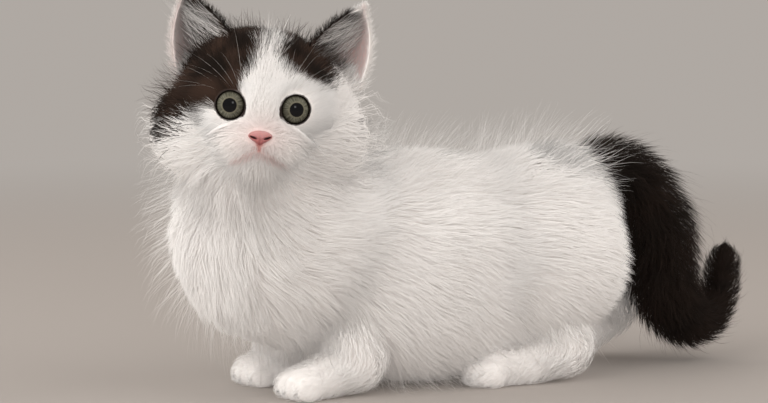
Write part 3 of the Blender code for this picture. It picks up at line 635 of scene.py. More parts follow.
def trianglesOf(obj):
    obj.data.calc_loop_triangles()
    triangles = np.empty(len(obj.data.loop_triangles) * 3, np.int32)
    obj.data.loop_triangles.foreach_get("vertices", triangles)
    return triangles.reshape(-1, 3)


def refined(points, triangles, chosen):
    # Halves each edge between two chosen points: its triangles become two, or four where all
    # three corners are chosen.
    count = len(points)
    ends = np.sort(np.stack([triangles, np.roll(triangles, -1, axis=1)], axis=2), axis=2)
    split = chosen[ends].all(axis=2)
    keys, index = np.unique(ends[split][:, 0].astype(np.int64) * count + ends[split][:, 1],
                            return_inverse=True)
    middles = np.full(triangles.shape, -1)
    middles[split] = count + index
    points = np.vstack([points, (points[keys // count] + points[keys % count]) / 2])
    number = split.sum(axis=1)
    a, b, c = triangles[number == 3].T
    ab, bc, ca = middles[number == 3].T
    four = [(a, ab, ca), (ab, b, bc), (ca, bc, c), (ab, bc, ca)]
    once = np.flatnonzero(number == 1)
    first = split[once].argmax(axis=1)
    d, e, f = (triangles[once, (first + i) % 3] for i in range(3))
    m = middles[once, first]
    two = [(d, m, f), (m, e, f)]
    return points, np.vstack([triangles[number == 0]] + [np.stack(t, axis=1) for t in four + two])


def settle(obj, field, rounds):
    # Newton steps onto the surface where the field is nought, with a little evening out.
    points = pointsOf(obj)
    edges = np.empty(len(obj.data.edges) * 2, np.int32)
    obj.data.edges.foreach_get("vertices", edges)
    a, b = edges.reshape(-1, 2).T
    count = np.bincount(a, minlength=len(points)) + np.bincount(b, minlength=len(points))
    for _ in range(rounds):
        total = np.stack([np.bincount(a, points[b, i], len(points))
                          + np.bincount(b, points[a, i], len(points)) for i in range(3)], axis=1)
        points = points + 0.4 * (total / count[:, None] - points)
        value, slope, _ = steepest(field, points)
        step = np.clip(value, -2, 2) / np.maximum((slope * slope).sum(axis=1), 0.2)
        points -= step[:, None] * slope
    setPoints(obj, points)


def mouthLines():
    # The line of the lips and the furrow under the nose, moved onto the skin by Newton steps.
    lips = [(-8.6, -23.3, 26.5), (-6.3, -21.9, 28), (-3.2, -19.9, 29.5), (0, -18.8, 29.5),
            (3.2, -19.9, 29.5), (6.3, -21.9, 28), (8.6, -23.3, 26.5)]
    furrow = [(0, -15.5, 30), (0, -17.2, 30), (0, -19.2, 29.5)]
    lines = []
    for line in (lips, furrow):
        points = smoothPath(onHead(line), 40)
        for _ in range(4):
            value, slope, _ = steepest(trunkField, points)
            points = points - unit(slope) * value[:, None]
        lines.append(points)
    return lines


mouth = mouthLines()


def offMouth(points):
    # Distance to the nearer of the two lines, for points near the muzzle.
    apart = np.full(len(points), 50.0)
    near = np.linalg.norm(points - onHead((0, -20, 28)), axis=1) < 20
    line = np.vstack(mouth)
    if near.any():
        gaps = np.linalg.norm(points[near][:, None, :] - line[None], axis=2)
        apart[near] = gaps.min(axis=1)
    return apart


def addSkin():
    # One closed skin: forms remeshed, settled, with sockets, lids, ears and the mouth's line.
    skin = newObject("skin", seedMesh())
    remesh = skin.modifiers.new("voxels", "REMESH")
    remesh.mode = "VOXEL"
    remesh.voxel_size = skinPlan["voxel"]
    applied(skin)
    settle(skin, wholeField, skinPlan["rounds"])
    for sign in (-1, 1):
        place, axes = eyePlace(sign), axesAlong(eyeAxis(sign))
        combine(skin, roundBall("lids", place, eye["radius"] + 0.25 + eye["lid"], axes), "UNION")
        combine(skin, roundBall("socket", place, eye["radius"] + 0.25, axes), "DIFFERENCE")
        radii = np.array([0, 1, 1, 0]) * eye["opening"]
        rod = revolved("opening", place, axes, radii, np.array([2.0, 2.0, 16.0, 16.0]), 48)
        facingOut(rod)
        combine(skin, rod, "DIFFERENCE")
        combine(skin, addEar(sign), "UNION")
    points = pointsOf(skin)
    nearMuzzle = lengths(points - onHead((0, -19, 27))) < 14
    points, triangles = refined(points, trianglesOf(skin), nearMuzzle)
    close = np.flatnonzero(offMouth(points) < 4)
    slope = steepest(trunkField, points[close])[1]
    sink = skinPlan["mouthDepth"] * np.exp(-(offMouth(points[close]) / skinPlan["mouthWidth"]) ** 2)
    points[close] -= unit(slope) * sink[:, None]
    skin.data = meshFromArrays("skin", points, triangles)
    return skin


patch = {
    # outlines of the dark patches: millimetres right and up from the head's middle, as seen
    # from the side the kitten looks to
    "outlines": (
        [(3, 31.4), (1.5, 26.3), (0.6, 19.7), (-2.2, 14.6), (-4.4, 10.2), (-6, 6.2),
         (-9.5, 3.2), (-16, 1.2), (-18.6, -2.1), (-20.9, -5.6), (-25.3, -6.5), (-29.6, -5.6),
         (-33, -7.5), (-36, -11), (-39, -13.5), (-50, -15), (-50, 50), (3, 50)],
        [(9.6, 31.4), (10.6, 26.3), (10.8, 20.4), (12.5, 16.1), (14.2, 12.5), (17.5, 9),
         (24, 5.5), (31, 4.5), (33.6, 10.3), (38, 17), (30, 50), (9.6, 50)]),
    "view": -25.0,                      # azimuth of that side
    "edge": 3.6,                        # mm over which dark turns to white
    "ragged": 1.7,
    "back": -32.0,                      # the patches end this far behind the middle of the skull
}


def ripple(points, size, seed):
    # Smooth noise from -1 to 1: a sum of eight slanted sine waves of about the given length.
    random = np.random.default_rng(seed)
    total = np.zeros(len(points))
    for _ in range(8):
        way = unit(random.normal(size=3)) * 2 * np.pi / (size * random.uniform(0.7, 1.5))
        total += np.sin(points @ way + random.uniform(0, 2 * np.pi))
    return total / 3.2


def insideOutline(local, outline):
    # Distance inside a closed outline on the face: the least distance to its sides, positive
    # where a level line to the right crosses the outline an odd number of times.
    corners = np.array(outline, float)
    x, y = local[:, 0], local[:, 1]
    least, odd = np.full(len(x), 1e9), np.zeros(len(x), bool)
    for (ax, ay), (bx, by) in zip(corners, np.roll(corners, -1, axis=0)):
        t = np.clip(((x - ax) * (bx - ax) + (y - ay) * (by - ay)) / ((bx - ax) ** 2 + (by - ay) ** 2), 0, 1)
        least = np.minimum(least, np.hypot(x - ax - t * (bx - ax), y - ay - t * (by - ay)))
        if ay != by:
            odd ^= ((ay > y) != (by > y)) & (x < ax + (y - ay) * (bx - ax) / (by - ay))
    return np.where(odd, least, -least)


def markings(points):
    # Share of dark hair and share of brown in it. The outlines are read where the hair rooted
    # at a point comes to lie: p + (1.05 depth + 0.8) lie.
    local = inHead(points)
    near = np.flatnonzero((headShare(points) > 0.5) & (lengths(local) < 75))
    dark = np.zeros(len(points))
    run = 1.05 * trunkField(points[near])[1] + 0.8
    moved = points[near] + unit(trunkLie(points[near])) * run[:, None]
    turn = math.radians(patch["view"])
    right, up = np.array([math.cos(turn), math.sin(turn), 0]), np.array([0.037, 0.079, 0.996])
    away = moved - np.array(head["place"])
    seen = np.stack([away @ right, away @ up], axis=1)
    ragged = patch["ragged"] * ripple(moved, 7, 3) + 0.7 * ripple(moved, 2.5, 4)
    inside = np.max([insideOutline(seen, outline) for outline in patch["outlines"]], axis=0)
    inside = np.minimum(inside, inHead(moved)[:, 2] - patch["back"])
    dark[near] = np.clip(0.5 + (inside + ragged) / patch["edge"], 0, 1)
    crown = np.clip(1 - ((seen[:, 0] - 5.5) / 5) ** 2, 0, 1) * np.clip((seen[:, 1] - 20) / 8, 0, 1)
    dark[near] = np.maximum(dark[near], 0.62 * crown * np.clip(0.8 + ripple(moved, 3, 8), 0, 1))
    brown = np.clip(0.3 + 0.7 * ripple(points, 11, 5), 0, 1)
    apart, share = alongTail(points)
    onTail = np.clip((share - 0.03) / 0.05 + 0.3 * ripple(points, 6, 6), 0, 1)
    onTail *= (apart < tail["flesh"] + 3)
    rump = np.clip((points[:, 0] - 99) / 4 + ripple(points, 9, 9), 0, 1) * (points[:, 2] > 74)
    onTail = np.maximum(onTail, rump)
    return np.maximum(dark, onTail), np.where(onTail > dark, 0.2 * brown, brown)


lieSway = {"size": 26.0, "share": 0.24}


def trunkLie(points):
    # Back along the body, down the chest, and away from the nose on the head.
    x, y, z = points.T
    low = np.clip((80 - z) / 70, 0, 1)
    chest = np.clip((-50 - x) / 40, 0, 1)
    body = np.stack([1 - 0.95 * chest, 0.012 * y * chest, -(0.12 + 0.75 * low + 0.9 * chest)], axis=1)
    local = inHead(points)
    behind = np.clip((26 - local[:, 2]) / 16, 0.12, 1)
    away = np.stack([local[:, 0], local[:, 1] + 12, -18 * behind], axis=1)
    weight = headShare(points)[:, None]
    flow = unit(body) + weight * (unit(away @ headAxes) - unit(body))
    for sign in (-1, 1):
        apart = points - eyePlace(sign)
        axis = eyeAxis(sign)
        side = apart - (apart @ axis)[:, None] * axis
        near = np.clip((13 - lengths(side)) / 7, 0, 1) * (lengths(apart) < 16)
        flow = flow + unit(side) * near[:, None] * 1.0
    sway = np.stack([ripple(points, lieSway["size"], 41 + i) for i in range(3)], axis=1)
    return unit(flow) + sway * lieSway["share"]


def legLie(points):
    # Down the leg, and forwards along the paw below 22 mm.
    low = np.clip((22 - points[:, 2]) / 12, 0, 1)[:, None]
    return np.array([0.15, 0, -1.0]) * (1 - low) + np.array([-1.0, 0, -0.35]) * low


def tailLie(points):
    # Along the tail towards its tip.
    share = alongTail(points)[1] * (len(tailLine) - 1)
    heading = np.gradient(tailLine, axis=0)
    return unit(np.stack([np.interp(share, np.arange(len(tailLine)), heading[:, i])
                          for i in range(3)], axis=1))


tuft = {
    "sunk": 0.7,
    "shares": (0.0, 0.3, 0.66, 1.0),    # rings of a long tuft along its length, and its tip
    "shortShares": (0.0, 0.48, 1.0),
    "taper": (0.75, 1.0, 0.62),
    "shortTaper": (0.8, 1.0),
    "headMiddle": (0, -6, -2),          # the head's tufts are shaded as on a ball round this
    "softness": 0.93,                    # share of the skin's direction in the tufts' shading
    "rise": 0.52,
    "floor": 0.25,
}

strands = []                            # every tuft: paths, normals, widths and its look


def follow(field, lie, roots, random, length, reach, swirl, shares):
    # Paths from the skin: each step goes on along the lie by length x share, then out to the
    # height coat x reach x share ^ rise over the flesh.
    value, slope, _ = steepest(field, roots)
    normal = unit(slope)
    place = roots - normal * (value + tuft["sunk"])[:, None]
    path, normals, acrosses = [place], [normal], []
    lean = random.normal(0, swirl, len(roots))
    last = 0.0
    for share in shares[1:]:
        flow = lie(place)
        flow = unit(flow - (flow * normal).sum(axis=1, keepdims=True) * normal)
        across = np.cross(normal, flow)
        acrosses.append(across)
        heading = unit(flow + lean[:, None] * across)
        place = place + heading * (length * (share - last))[:, None]
        last = share
        value, slope, depth = steepest(field, place)
        normal = unit(slope)
        place = place + normal * (depth * reach * share ** tuft["rise"] - value)[:, None]
        path.append(place)
        normals.append(normal)
    acrosses.append(acrosses[-1])
    return np.stack(path, 1), np.stack(normals, 1), np.stack(acrosses, 1)


def clearOfEyes(path):
    # Points before an opening are moved out from its axis to just past the rim.
    shape = path.shape
    points = path.reshape(-1, 3).copy()
    for sign in (-1, 1):
        along, off, flat = offRim(points, sign)
        inside = (along > 0) & (along < 16) & (off < 0.3)
        points[inside] += (unit(flat) * (0.3 - off)[:, None])[inside]
    return points.reshape(shape)


def clumped(path, roots, size, pull, shares, seed):
    # Tufts whose roots share a wavy cell of the given size lean together: each ring moves
    # towards the mean of its cell by pull x share ^ 1.5.
    wave = np.stack([ripple(roots, size * 2.2, seed + i) for i in range(3)], axis=1)
    cell = np.floor((roots + wave * size * 0.5) / size).astype(np.int64)
    key = (cell * np.array([1, 4001, 4001 ** 2])).sum(axis=1)
    _, group = np.unique(key, return_inverse=True)
    count = np.bincount(group)
    moved = path.copy()
    for k, share in enumerate(shares):
        if share > 0:
            mean = np.stack([np.bincount(group, path[:, k, i]) / count for i in range(3)], axis=1)
            moved[:, k] += (mean[group] - path[:, k]) * (pull * share ** 1.5)[:, None]
    return moved


triangleCorners = np.array([0.5 * np.pi, 7 * np.pi / 6, 11 * np.pi / 6])


def strandMesh(name, path, normals, acrosses, widths, thick, taper, middle=None):
    # Three-sided tapered tufts: ring corners c = p + across (w / 2) cos a + normal (t / 2) sin a,
    # then one point at the tip; the root is closed by a triangle. The two upper sides are
    # shaded along the skin's direction and the underside against it.
    count, rings = len(path), len(taper)
    halfWidth = widths[:, None] * np.array(taper) / 2
    cos, sin = np.cos(triangleCorners), np.sin(triangleCorners)
    ring = (path[:, :rings, None] + acrosses[:, :rings, None] * (halfWidth[..., None] * cos)[..., None]
            + normals[:, :rings, None] * (halfWidth[..., None] * sin * thick)[..., None])
    per = 3 * rings + 1
    points = np.concatenate([ring.reshape(count, -1, 3), path[:, -1:]], axis=1)
    faces, under = [(0, 2, 1)], [True]
    for k in range(rings - 1):
        for j in range(3):
            a, b = 3 * k + j, 3 * k + (j + 1) % 3
            faces += [(a, b, b + 3), (a, b + 3, a + 3)]
            under += [j == 1] * 2
    top = 3 * (rings - 1)
    faces += [(top + j, top + (j + 1) % 3, per - 1) for j in range(3)]
    under += [j == 1 for j in range(3)]
    triangles = np.array(faces)[None] + (np.arange(count) * per)[:, None, None]
    mesh = meshFromArrays(name, inFrame(points.reshape(-1, 3)), triangles.reshape(-1, 3))
    own = (acrosses[:, :rings, None] * cos[:, None] + normals[:, :rings, None] * sin[:, None])
    own = np.concatenate([own.reshape(count, -1, 3), normals[:, -1:]], axis=1)
    base = normals[:, :1]
    if middle is not None:
        base = unit(base + 2.0 * unit(path[:, 1:2] - middle))
    facing = np.where(under, -1.0, 1.0)[None, :, None, None]
    shading = unit(own[:, np.array(faces)] * (1 - tuft["softness"]) + base[:, None] * facing * tuft["softness"])
    mesh.normals_split_custom_set(shading.reshape(-1, 3).tolist())
    return mesh, per


def addTufts(kind, path, normals, acrosses, widths, look, place, thick=0.5):
    # Keeps tufts for the coat pieces of their kind. look: dark, brown, tone, pink for each
    # tuft; place: its root on the unwrap of the skin.
    path = clearOfEyes(path)
    path[:, 1:, 2] = np.maximum(path[:, 1:, 2], tuft["floor"])
    strands.append({"kind": kind, "path": path, "normals": normals, "acrosses": acrosses,
                    "widths": widths, "look": look, "place": place, "thick": thick})


def setAttribute(mesh, name, values):
    mesh.attributes.new(name, "FLOAT", "POINT").data.foreach_set("value", values.astype(np.float32))


patchSize = 0.003


def coatPiece(name, parts, material):
    # One coat piece from tufts of equal ring count, with their look as attributes and each
    # tuft's patch of the OFBake map at its root's place.
    path, normals, acrosses, widths, look, place = (
        np.concatenate([part[key] for part in parts])
        for key in ("path", "normals", "acrosses", "widths", "look", "place"))
    rings = path.shape[1] - 1
    taper = tuft["taper"] if rings == 3 else tuft["shortTaper"]
    mesh, per = strandMesh(name, path, normals, acrosses, widths, parts[0]["thick"], taper,
                           onHead(tuft["headMiddle"]) if "_head_" in name else None)
    along = np.append(np.repeat(np.linspace(0, 1, rings + 1)[:-1], 3), 1.0)
    for i, key in enumerate(("dark", "brown", "tone", "pink")):
        setAttribute(mesh, key, np.repeat(look[:, i], per))
    setAttribute(mesh, "along", np.tile(along, len(path)))
    corner = np.append(np.tile([0.0, 0.5, 1.0], rings), 0.5)
    offset = np.stack([corner, along], axis=1) * patchSize - patchSize / 2
    uv = (np.clip(place, 0.002, 0.998)[:, None] + offset[None]).reshape(-1, 2)
    index = np.empty(len(mesh.loops), np.int32)
    mesh.loops.foreach_get("vertex_index", index)
    layer = mesh.uv_layers.new(name="OFBake")
    layer.uv.foreach_set("vector", uv[index].astype(np.float32).ravel())
    mesh.materials.append(material)
    obj = newObject(name, mesh)
    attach(obj, "root")
    return obj


class Wire:
    # One socket. Arithmetic on it adds Math nodes.

    def __init__(self, paint, socket):
        self.paint = paint
        self.socket = socket

    def calc(self, operation, a, b=0.0):
        return self.paint.node("ShaderNodeMath", {"operation": operation}, {0: a, 1: b})

    def __add__(self, other):
        return self.calc("ADD", self, other)

    def __sub__(self, other):
        return self.calc("SUBTRACT", self, other)

    def __rsub__(self, other):
        return self.calc("SUBTRACT", other, self)

    def __mul__(self, other):
        return self.calc("MULTIPLY", self, other)

    def __truediv__(self, other):
        return self.calc("DIVIDE", self, other)

    def __pow__(self, other):
        return self.calc("POWER", self, other)

    def least(self, other):
        return self.calc("MINIMUM", self, other)

    def most(self, other):
        return self.calc("MAXIMUM", self, other)

    def clipped(self):
        return self.most(0.0).least(1.0)

    __radd__ = __add__
    __rmul__ = __mul__


class Paint:
    # One material and its Principled shader.

    def __init__(self, name, **sockets):
        self.material = bpy.data.materials.new(name)
        self.material.use_nodes = True
        self.tree = self.material.node_tree
        self.shader = self.tree.nodes["Principled BSDF"]
        for key, value in sockets.items():
            self.feed(self.shader.inputs[key], value)

    def feed(self, socket, value):
        if isinstance(value, Wire):
            self.tree.links.new(value.socket, socket)
        else:
            socket.default_value = value

    def node(self, kind, settings=None, sockets=None, out=0):
        made = self.tree.nodes.new(kind)
        for key, value in (settings or {}).items():
            setattr(made, key, value)
        for key, value in (sockets or {}).items():
            self.feed(made.inputs[key], value)
        return Wire(self, made.outputs[out])

    def attribute(self, name):
        return self.node("ShaderNodeAttribute", {"attribute_name": name}, out="Fac")

    def places(self):
        return self.node("ShaderNodeTexCoord", out="Object")

    def noise(self, scale, vector=None, detail=3.0):
        return self.node("ShaderNodeTexNoise", {}, {"Vector": vector or self.places(),
                                                    "Scale": scale, "Detail": detail})

    def mix(self, factor, a, b):
        return self.node("ShaderNodeMix", {"data_type": "RGBA"}, {0: factor, 6: a, 7: b}, out=2)

    def scaled(self, colour, value):
        grey = self.node("ShaderNodeCombineXYZ", {}, {0: value, 1: value, 2: value})
        return self.node("ShaderNodeVectorMath", {"operation": "MULTIPLY"}, {0: colour, 1: grey})

    def between(self, value, low, high):
        return self.node("ShaderNodeMapRange", {"interpolation_type": "SMOOTHSTEP"},
                         {"Value": value, "From Min": low, "From Max": high})

    def bump(self, height, strength, distance):
        return self.node("ShaderNodeBump", {}, {"Height": height, "Strength": strength,
                                                "Distance": distance})

    def set(self, key, value):
        self.feed(self.shader.inputs[key], value)


colours = {
    # the white root's darker, warmer colour is painted shade deep in the coat
    "whiteRootPaintedShade": (0.80, 0.745, 0.71, 1),
    "whiteTip": (0.88, 0.865, 0.85, 1),
    "blackRoot": (0.006, 0.004, 0.003, 1),
    "blackTip": (0.014, 0.010, 0.008, 1),
    "brown": (0.055, 0.032, 0.023, 1),
    "pinkSkin": (0.62, 0.31, 0.28, 1),
    # the lids' own dark rim, also used as painted shade along the mouth
    "lidRimAndMouthShade": (0.026, 0.018, 0.016, 1),
}


def coatColour(paint, along):
    # White from a root darkened and warmed by painted shade to a pale tip, dark likewise from root to tip with
    # brown in it, mixed by the dark attribute.
    dark, brown, tone = (paint.attribute(name) for name in ("dark", "brown", "tone"))
    white = paint.mix((along ** 0.6).clipped(), colours["whiteRootPaintedShade"], colours["whiteTip"])
    black = paint.mix(along, colours["blackRoot"], colours["blackTip"])
    black = paint.mix((brown * (along * 0.5 + 0.5)).clipped(), black, colours["brown"])
    mixed = paint.mix(dark.clipped(), white, black)
    mixed = paint.mix(paint.attribute("pink").clipped(), mixed, colours["pinkSkin"])
    return paint.scaled(mixed, tone)


def coatMaterial():
    # Painted light: the hair glows at 0.05 of its colour at the tips up to 0.23 at the roots, lifting the shade
    # between tufts.
    paint = Paint("coat_hair", **{"Roughness": 0.65, "Specular IOR Level": 0.12,
                                  "Emission Strength": 1.0})
    along = paint.attribute("along")
    colour = coatColour(paint, along)
    paint.set("Base Color", colour)
    paint.set("Emission Color", paint.scaled(colour, 0.05 + 0.18 * (1.0 - along) ** 2.0))
    return paint.material


def skinMaterial():
    # Painted light: the skin glows at 0.2 of its colour, lifting the shade in the gaps between tufts; its colour
    # is the hair's from a quarter to three quarters along, so it carries part of the roots' painted shade.
    paint = Paint("skin_under_fur", **{"Specular IOR Level": 0.2, "Emission Strength": 0.2})
    fibre = paint.noise(900.0, detail=2.0)
    # The rim attribute turns the skin to the dark rim colour: the lids' own dark edge, and painted shade along
    # the mouth's crease.
    colour = paint.mix(paint.attribute("rim").clipped(), coatColour(paint, fibre * 0.5 + 0.25),
                       colours["lidRimAndMouthShade"])
    paint.set("Base Color", colour)
    paint.set("Emission Color", colour)
    paint.set("Roughness", 0.75 - 0.35 * paint.attribute("rim"))
    paint.set("Normal", paint.bump(fibre, 0.5, 0.0004))
    return paint.material


def addEye(sign, side):
    # Ball with a bulging cornea: past the iris the profile swells by 0.8 mm x (1 - (a/a0)^2).
    place, axes = eyePlace(sign), axesAlong(eyeAxis(sign))
    angle = np.linspace(0, np.pi, 90)
    edge = math.asin(eye["iris"] / eye["radius"])
    swell = 0.8 * np.clip(1 - (angle / edge) ** 2, 0, 1) ** 1.2
    radius = eye["radius"] + swell
    obj = revolved("eyeball_" + side, place, axes, radius * np.sin(angle), radius * np.cos(angle), 96)
    points = pointsOf(obj)
    local = (points - place) @ axes.T
    flat = np.linalg.norm(local[:, :2], axis=1)
    ring = np.where(local[:, 2] > 0, flat, 2 * eye["radius"] - flat) / eye["iris"]
    setAttribute(obj.data, "ring", ring)
    setAttribute(obj.data, "spokeX", local[:, 0] / np.maximum(flat, 1e-6))
    setAttribute(obj.data, "spokeY", local[:, 1] / np.maximum(flat, 1e-6))
    setPoints(obj, inFrame(points))
    facingOut(obj)
    obj.data.polygons.foreach_set("use_smooth", np.ones(len(obj.data.polygons), bool))
    return obj


def eyeMaterial():
    # Pupil, pale inner ring, olive iris with spokes, dark outer ring, then the dark edge.
    paint = Paint("eye_iris", **{"Roughness": 0.03, "Specular IOR Level": 0.2,
                                 "Coat Weight": 0.1, "Coat Roughness": 0.02})
    ring = paint.attribute("ring")
    spoke = paint.node("ShaderNodeCombineXYZ", {}, {0: paint.attribute("spokeX") * 9.0,
                                                    1: paint.attribute("spokeY") * 9.0,
                                                    2: ring * 1.3})
    fibre = paint.noise(1.6, spoke, 4.0)
    pupil = eye["pupil"] / eye["iris"]
    iris = paint.mix(paint.between(fibre, 0.35, 0.68), (0.062, 0.059, 0.041, 1), (0.175, 0.17, 0.13, 1))
    iris = paint.mix(paint.between(ring, pupil + 0.16, pupil), iris, (0.165, 0.155, 0.11, 1))
    iris = paint.mix(paint.between(ring, 0.84, 1.0), iris, (0.02, 0.017, 0.012, 1))
    iris = paint.mix(paint.between(ring, pupil + 0.03, pupil - 0.03), iris, (0.002, 0.002, 0.003, 1))
    paint.set("Base Color", iris)
    return paint.material


nose = {"place": (0, -13.6, 31.2), "radii": (5.2, 3.6, 3.4)}


def addNose():
    # Leather as a ball whose lower half narrows to a point, with a groove and two nostrils.
    angle = np.linspace(0, np.pi, 60)
    across = np.linspace(0, 2 * np.pi, 96, endpoint=False)
    a, b = np.meshgrid(angle[1:-1], across, indexing="ij")
    x, y, z = np.sin(a) * np.cos(b), np.sin(a) * np.sin(b), np.cos(a)
    grid = np.stack([x, y, z], axis=-1).reshape(-1, 3)
    grid = np.vstack([grid, [[0, 0, 1], [0, 0, -1]]])
    x, y, z = grid.T
    narrow = 1 - 0.72 * np.clip(-y, 0, 1) ** 1.1
    wing = 1 + 0.1 * np.clip(y, 0, 1)
    x = x * narrow * wing
    groove = 0.16 * np.exp(-(x / 0.09) ** 2) * np.clip(z, 0, 1) * np.clip(0.7 - y, 0, 1)
    hole = np.zeros(len(grid))
    for sign in (-1, 1):
        dx, dy = x - sign * 0.60, y + 0.05
        dx, dy = dx * 0.86 + sign * dy * 0.5, dy * 0.86 - sign * dx * 0.5
        hole += np.exp(-((dx / 0.34) ** 2 + (dy / 0.13) ** 2)) * (z > 0)
    z = z - groove - 0.55 * hole
    high = np.clip((y + 0.75) / 1.5, 0, 1)
    y = np.where(y > 0, 0.8 * y, y)
    local = np.stack([x, y, z], axis=1) * np.array(nose["radii"])
    points = onHead(np.array(nose["place"]) + local)
    rows, around = len(angle) - 2, len(across)
    k = np.arange(around)
    top, bottom = rows * around, rows * around + 1
    low = (rows - 1) * around
    triangles = np.vstack([gridTriangles(rows, around),
                           np.stack([np.full(around, top), (k + 1) % around, k], axis=1),
                           np.stack([np.full(around, bottom), low + k, low + (k + 1) % around], axis=1)])
    obj = newObject("nose_leather", meshFromArrays("nose_leather", inFrame(points), triangles))
    setAttribute(obj.data, "hole", np.clip(hole, 0, 1))
    setAttribute(obj.data, "high", high)
    facingOut(obj)
    return obj


def noseMaterial():
    paint = Paint("nose_leather", **{"Roughness": 0.38, "Specular IOR Level": 0.5,
                                     "Subsurface Weight": 0.15, "Subsurface Scale": 0.002})
    grain = paint.node("ShaderNodeTexVoronoi", {}, {"Vector": paint.places(), "Scale": 2200.0})
    tint = paint.mix(paint.between(paint.noise(260.0), 0.35, 0.7), (0.40, 0.12, 0.12, 1),
                     (0.32, 0.075, 0.08, 1))
    # Painted shade: the nostrils turn near black, standing for the shade inside their openings.
    hole = paint.between(paint.attribute("hole"), 0.15, 0.55)
    tint = paint.mix(paint.attribute("high"), tint, (0.50, 0.25, 0.24, 1))
    paint.set("Base Color", paint.mix(hole, tint, (0.05, 0.010, 0.010, 1)))
    paint.set("Normal", paint.bump(grain, 0.25, 0.0002))
    return paint.material


print("skin: forms remeshed and settled")
skin = addSkin()
skinPoints = pointsOf(skin)


def skinLook(points):
    # Dark, brown, pink and rim of the skin at each point; the rim is the lids' own dark edge and, along the
    # mouth, painted shade of its crease.
    dark, brown = markings(points)
    local = inHead(points)
    rim = np.zeros(len(points))
    for sign in (-1, 1):
        along, off, _ = offRim(points, sign)
        near = lengths(points - eyePlace(sign)) < eye["radius"] + eye["lid"] + 1.2
        rim = np.maximum(rim, near * (along > 0) * np.clip((0.75 - off) / 0.35, 0, 1))
    # Painted shade: a dark line at 0.75 strength along the mouth's lines stands for the shade in its crease.
    rim = np.maximum(rim, 0.75 * np.exp(-(offMouth(points) / 0.5) ** 2))
    lips = np.exp(-(offMouth(points) / 1.5) ** 2)
    bare = np.exp(-(((local - np.array(nose["place"])) / np.array([8.0, 6.0, 7.0])) ** 2).sum(axis=1))
    pink = np.clip(0.95 * lips + 0.5 * bare, 0, 0.95)
    return dark, brown, pink, rim


def earShareOf(points):
    # For each point: which ear it is on (0 none), and its nearest u and v there.
    which = np.zeros(len(points), int)
    best = np.full(len(points), 2.2)
    uv = np.zeros((len(points), 2))
    front = np.zeros(len(points))
    local = inHead(points)
    u, v = np.meshgrid(np.linspace(0, 1, 27), np.linspace(0.0, 1, 32))
    u, v = u.ravel(), v.ravel()
    for sign in (-1, 1):
        near = np.flatnonzero((local[:, 0] * sign > 12) & (local[:, 1] > -4))
        samples, normals = earPoint(sign, u, v), earNormal(sign, u, v)
        for part in np.array_split(near, max(1, len(near) // 4000)):
            gaps = np.linalg.norm(points[part][:, None] - samples[None], axis=2)
            index = gaps.argmin(axis=1)
            least = gaps[np.arange(len(part)), index]
            on = least < best[part]
            hit = part[on]
            which[hit] = sign
            best[hit] = least[on]
            uv[hit] = np.stack([u[index[on]], v[index[on]]], axis=1)
            front[hit] = -((points[hit] - samples[index[on]]) * normals[index[on]]).sum(axis=1)
    return which, uv, front


def earLook(sign, u, v, front):
    # Dark, brown and pink on an ear. The inner rim and the back are dark, the outer rim white,
    # the cup greyish on the right ear and pink on the left, whose tip is white.
    rimOut = np.where(front > 0, np.clip((u - 0.95) / 0.03, 0, 1), np.clip((u - 0.62) / 0.15, 0, 1))
    if sign < 0:
        cup = np.interp(u, (0.0, 0.28, 0.5, 0.95), (1.0, 0.97, 0.82, 0.5))
        dark = np.where(front > 0, cup, 1.0) * (1 - rimOut)
        pink = np.where(front > 0, 0.25 * np.clip((u - 0.4) / 0.3, 0, 1), 0)
    else:
        white = np.clip((v - 0.74) / 0.12, 0, 1)
        cup = np.interp(u, (0.0, 0.22, 0.45, 0.95), (1.0, 0.95, 0.75, 0.3))
        dark = np.where(front > 0, cup, 1.0) * (1 - rimOut) * (1 - white)
        pink = np.where(front > 0, 0.5 * np.clip((u - 0.25) / 0.3, 0, 1) * (1 - rimOut), 0)
    return dark, np.full(len(u), 0.25), pink


which, earUV, earFront = earShareOf(skinPoints)
dark, brown, pink, rim = skinLook(skinPoints)
for sign in (-1, 1):
    on = which == sign
    on &= earUV[:, 1] > 0.04
    dark[on], brown[on], pink[on] = earLook(sign, *earUV[on].T, earFront[on])
for key, values in (("dark", dark), ("brown", brown), ("pink", pink), ("rim", rim),
                    ("tone", np.full(len(dark), 0.92))):
    setAttribute(skin.data, key, values)
print("skin:", len(skin.data.polygons), "faces")

corners = np.empty(len(skin.data.polygons) * 3, np.int32)
skin.data.polygons.foreach_get("vertices", corners)
corners = corners.reshape(-1, 3)
cornerPoints = skinPoints[corners]
faceMiddle = cornerPoints.mean(axis=1)
faceNormal = np.cross(cornerPoints[:, 1] - cornerPoints[:, 0], cornerPoints[:, 2] - cornerPoints[:, 0])
faceArea = np.linalg.norm(faceNormal, axis=1) / 2

middleFields = {"trunk": trunkField(faceMiddle)}
for name in legForms:
    middleFields[name] = legField(name)(faceMiddle)
middleFields["tail"] = tailField(faceMiddle)
names = list(middleFields)
nearest = np.argmin([middleFields[name][0] for name in names], axis=0)
faceCoat = np.choose(nearest, [middleFields[name][1] for name in names])
faceEar = which[corners[:, 0]] != 0


def bareShare(points):
    # Nought where no hair grows: inside the lids, on the nose, on the lips, on the soles.
    grow = np.ones(len(points))
    for sign in (-1, 1):
        along, off, _ = offRim(points, sign)
        grow[(off < 0.45) & (along > -2)] = 0
        grow[lengths(points - eyePlace(sign)) < eye["radius"] + 0.5] = 0
    local = (inHead(points) - np.array(nose["place"])) / (np.array(nose["radii"]) + 0.1)
    grow[(local ** 2).sum(axis=1) < 1] = 0
    grow[offMouth(points) < 0.9] = 0
    grow[points[:, 2] < 0.6] = 0
    return grow


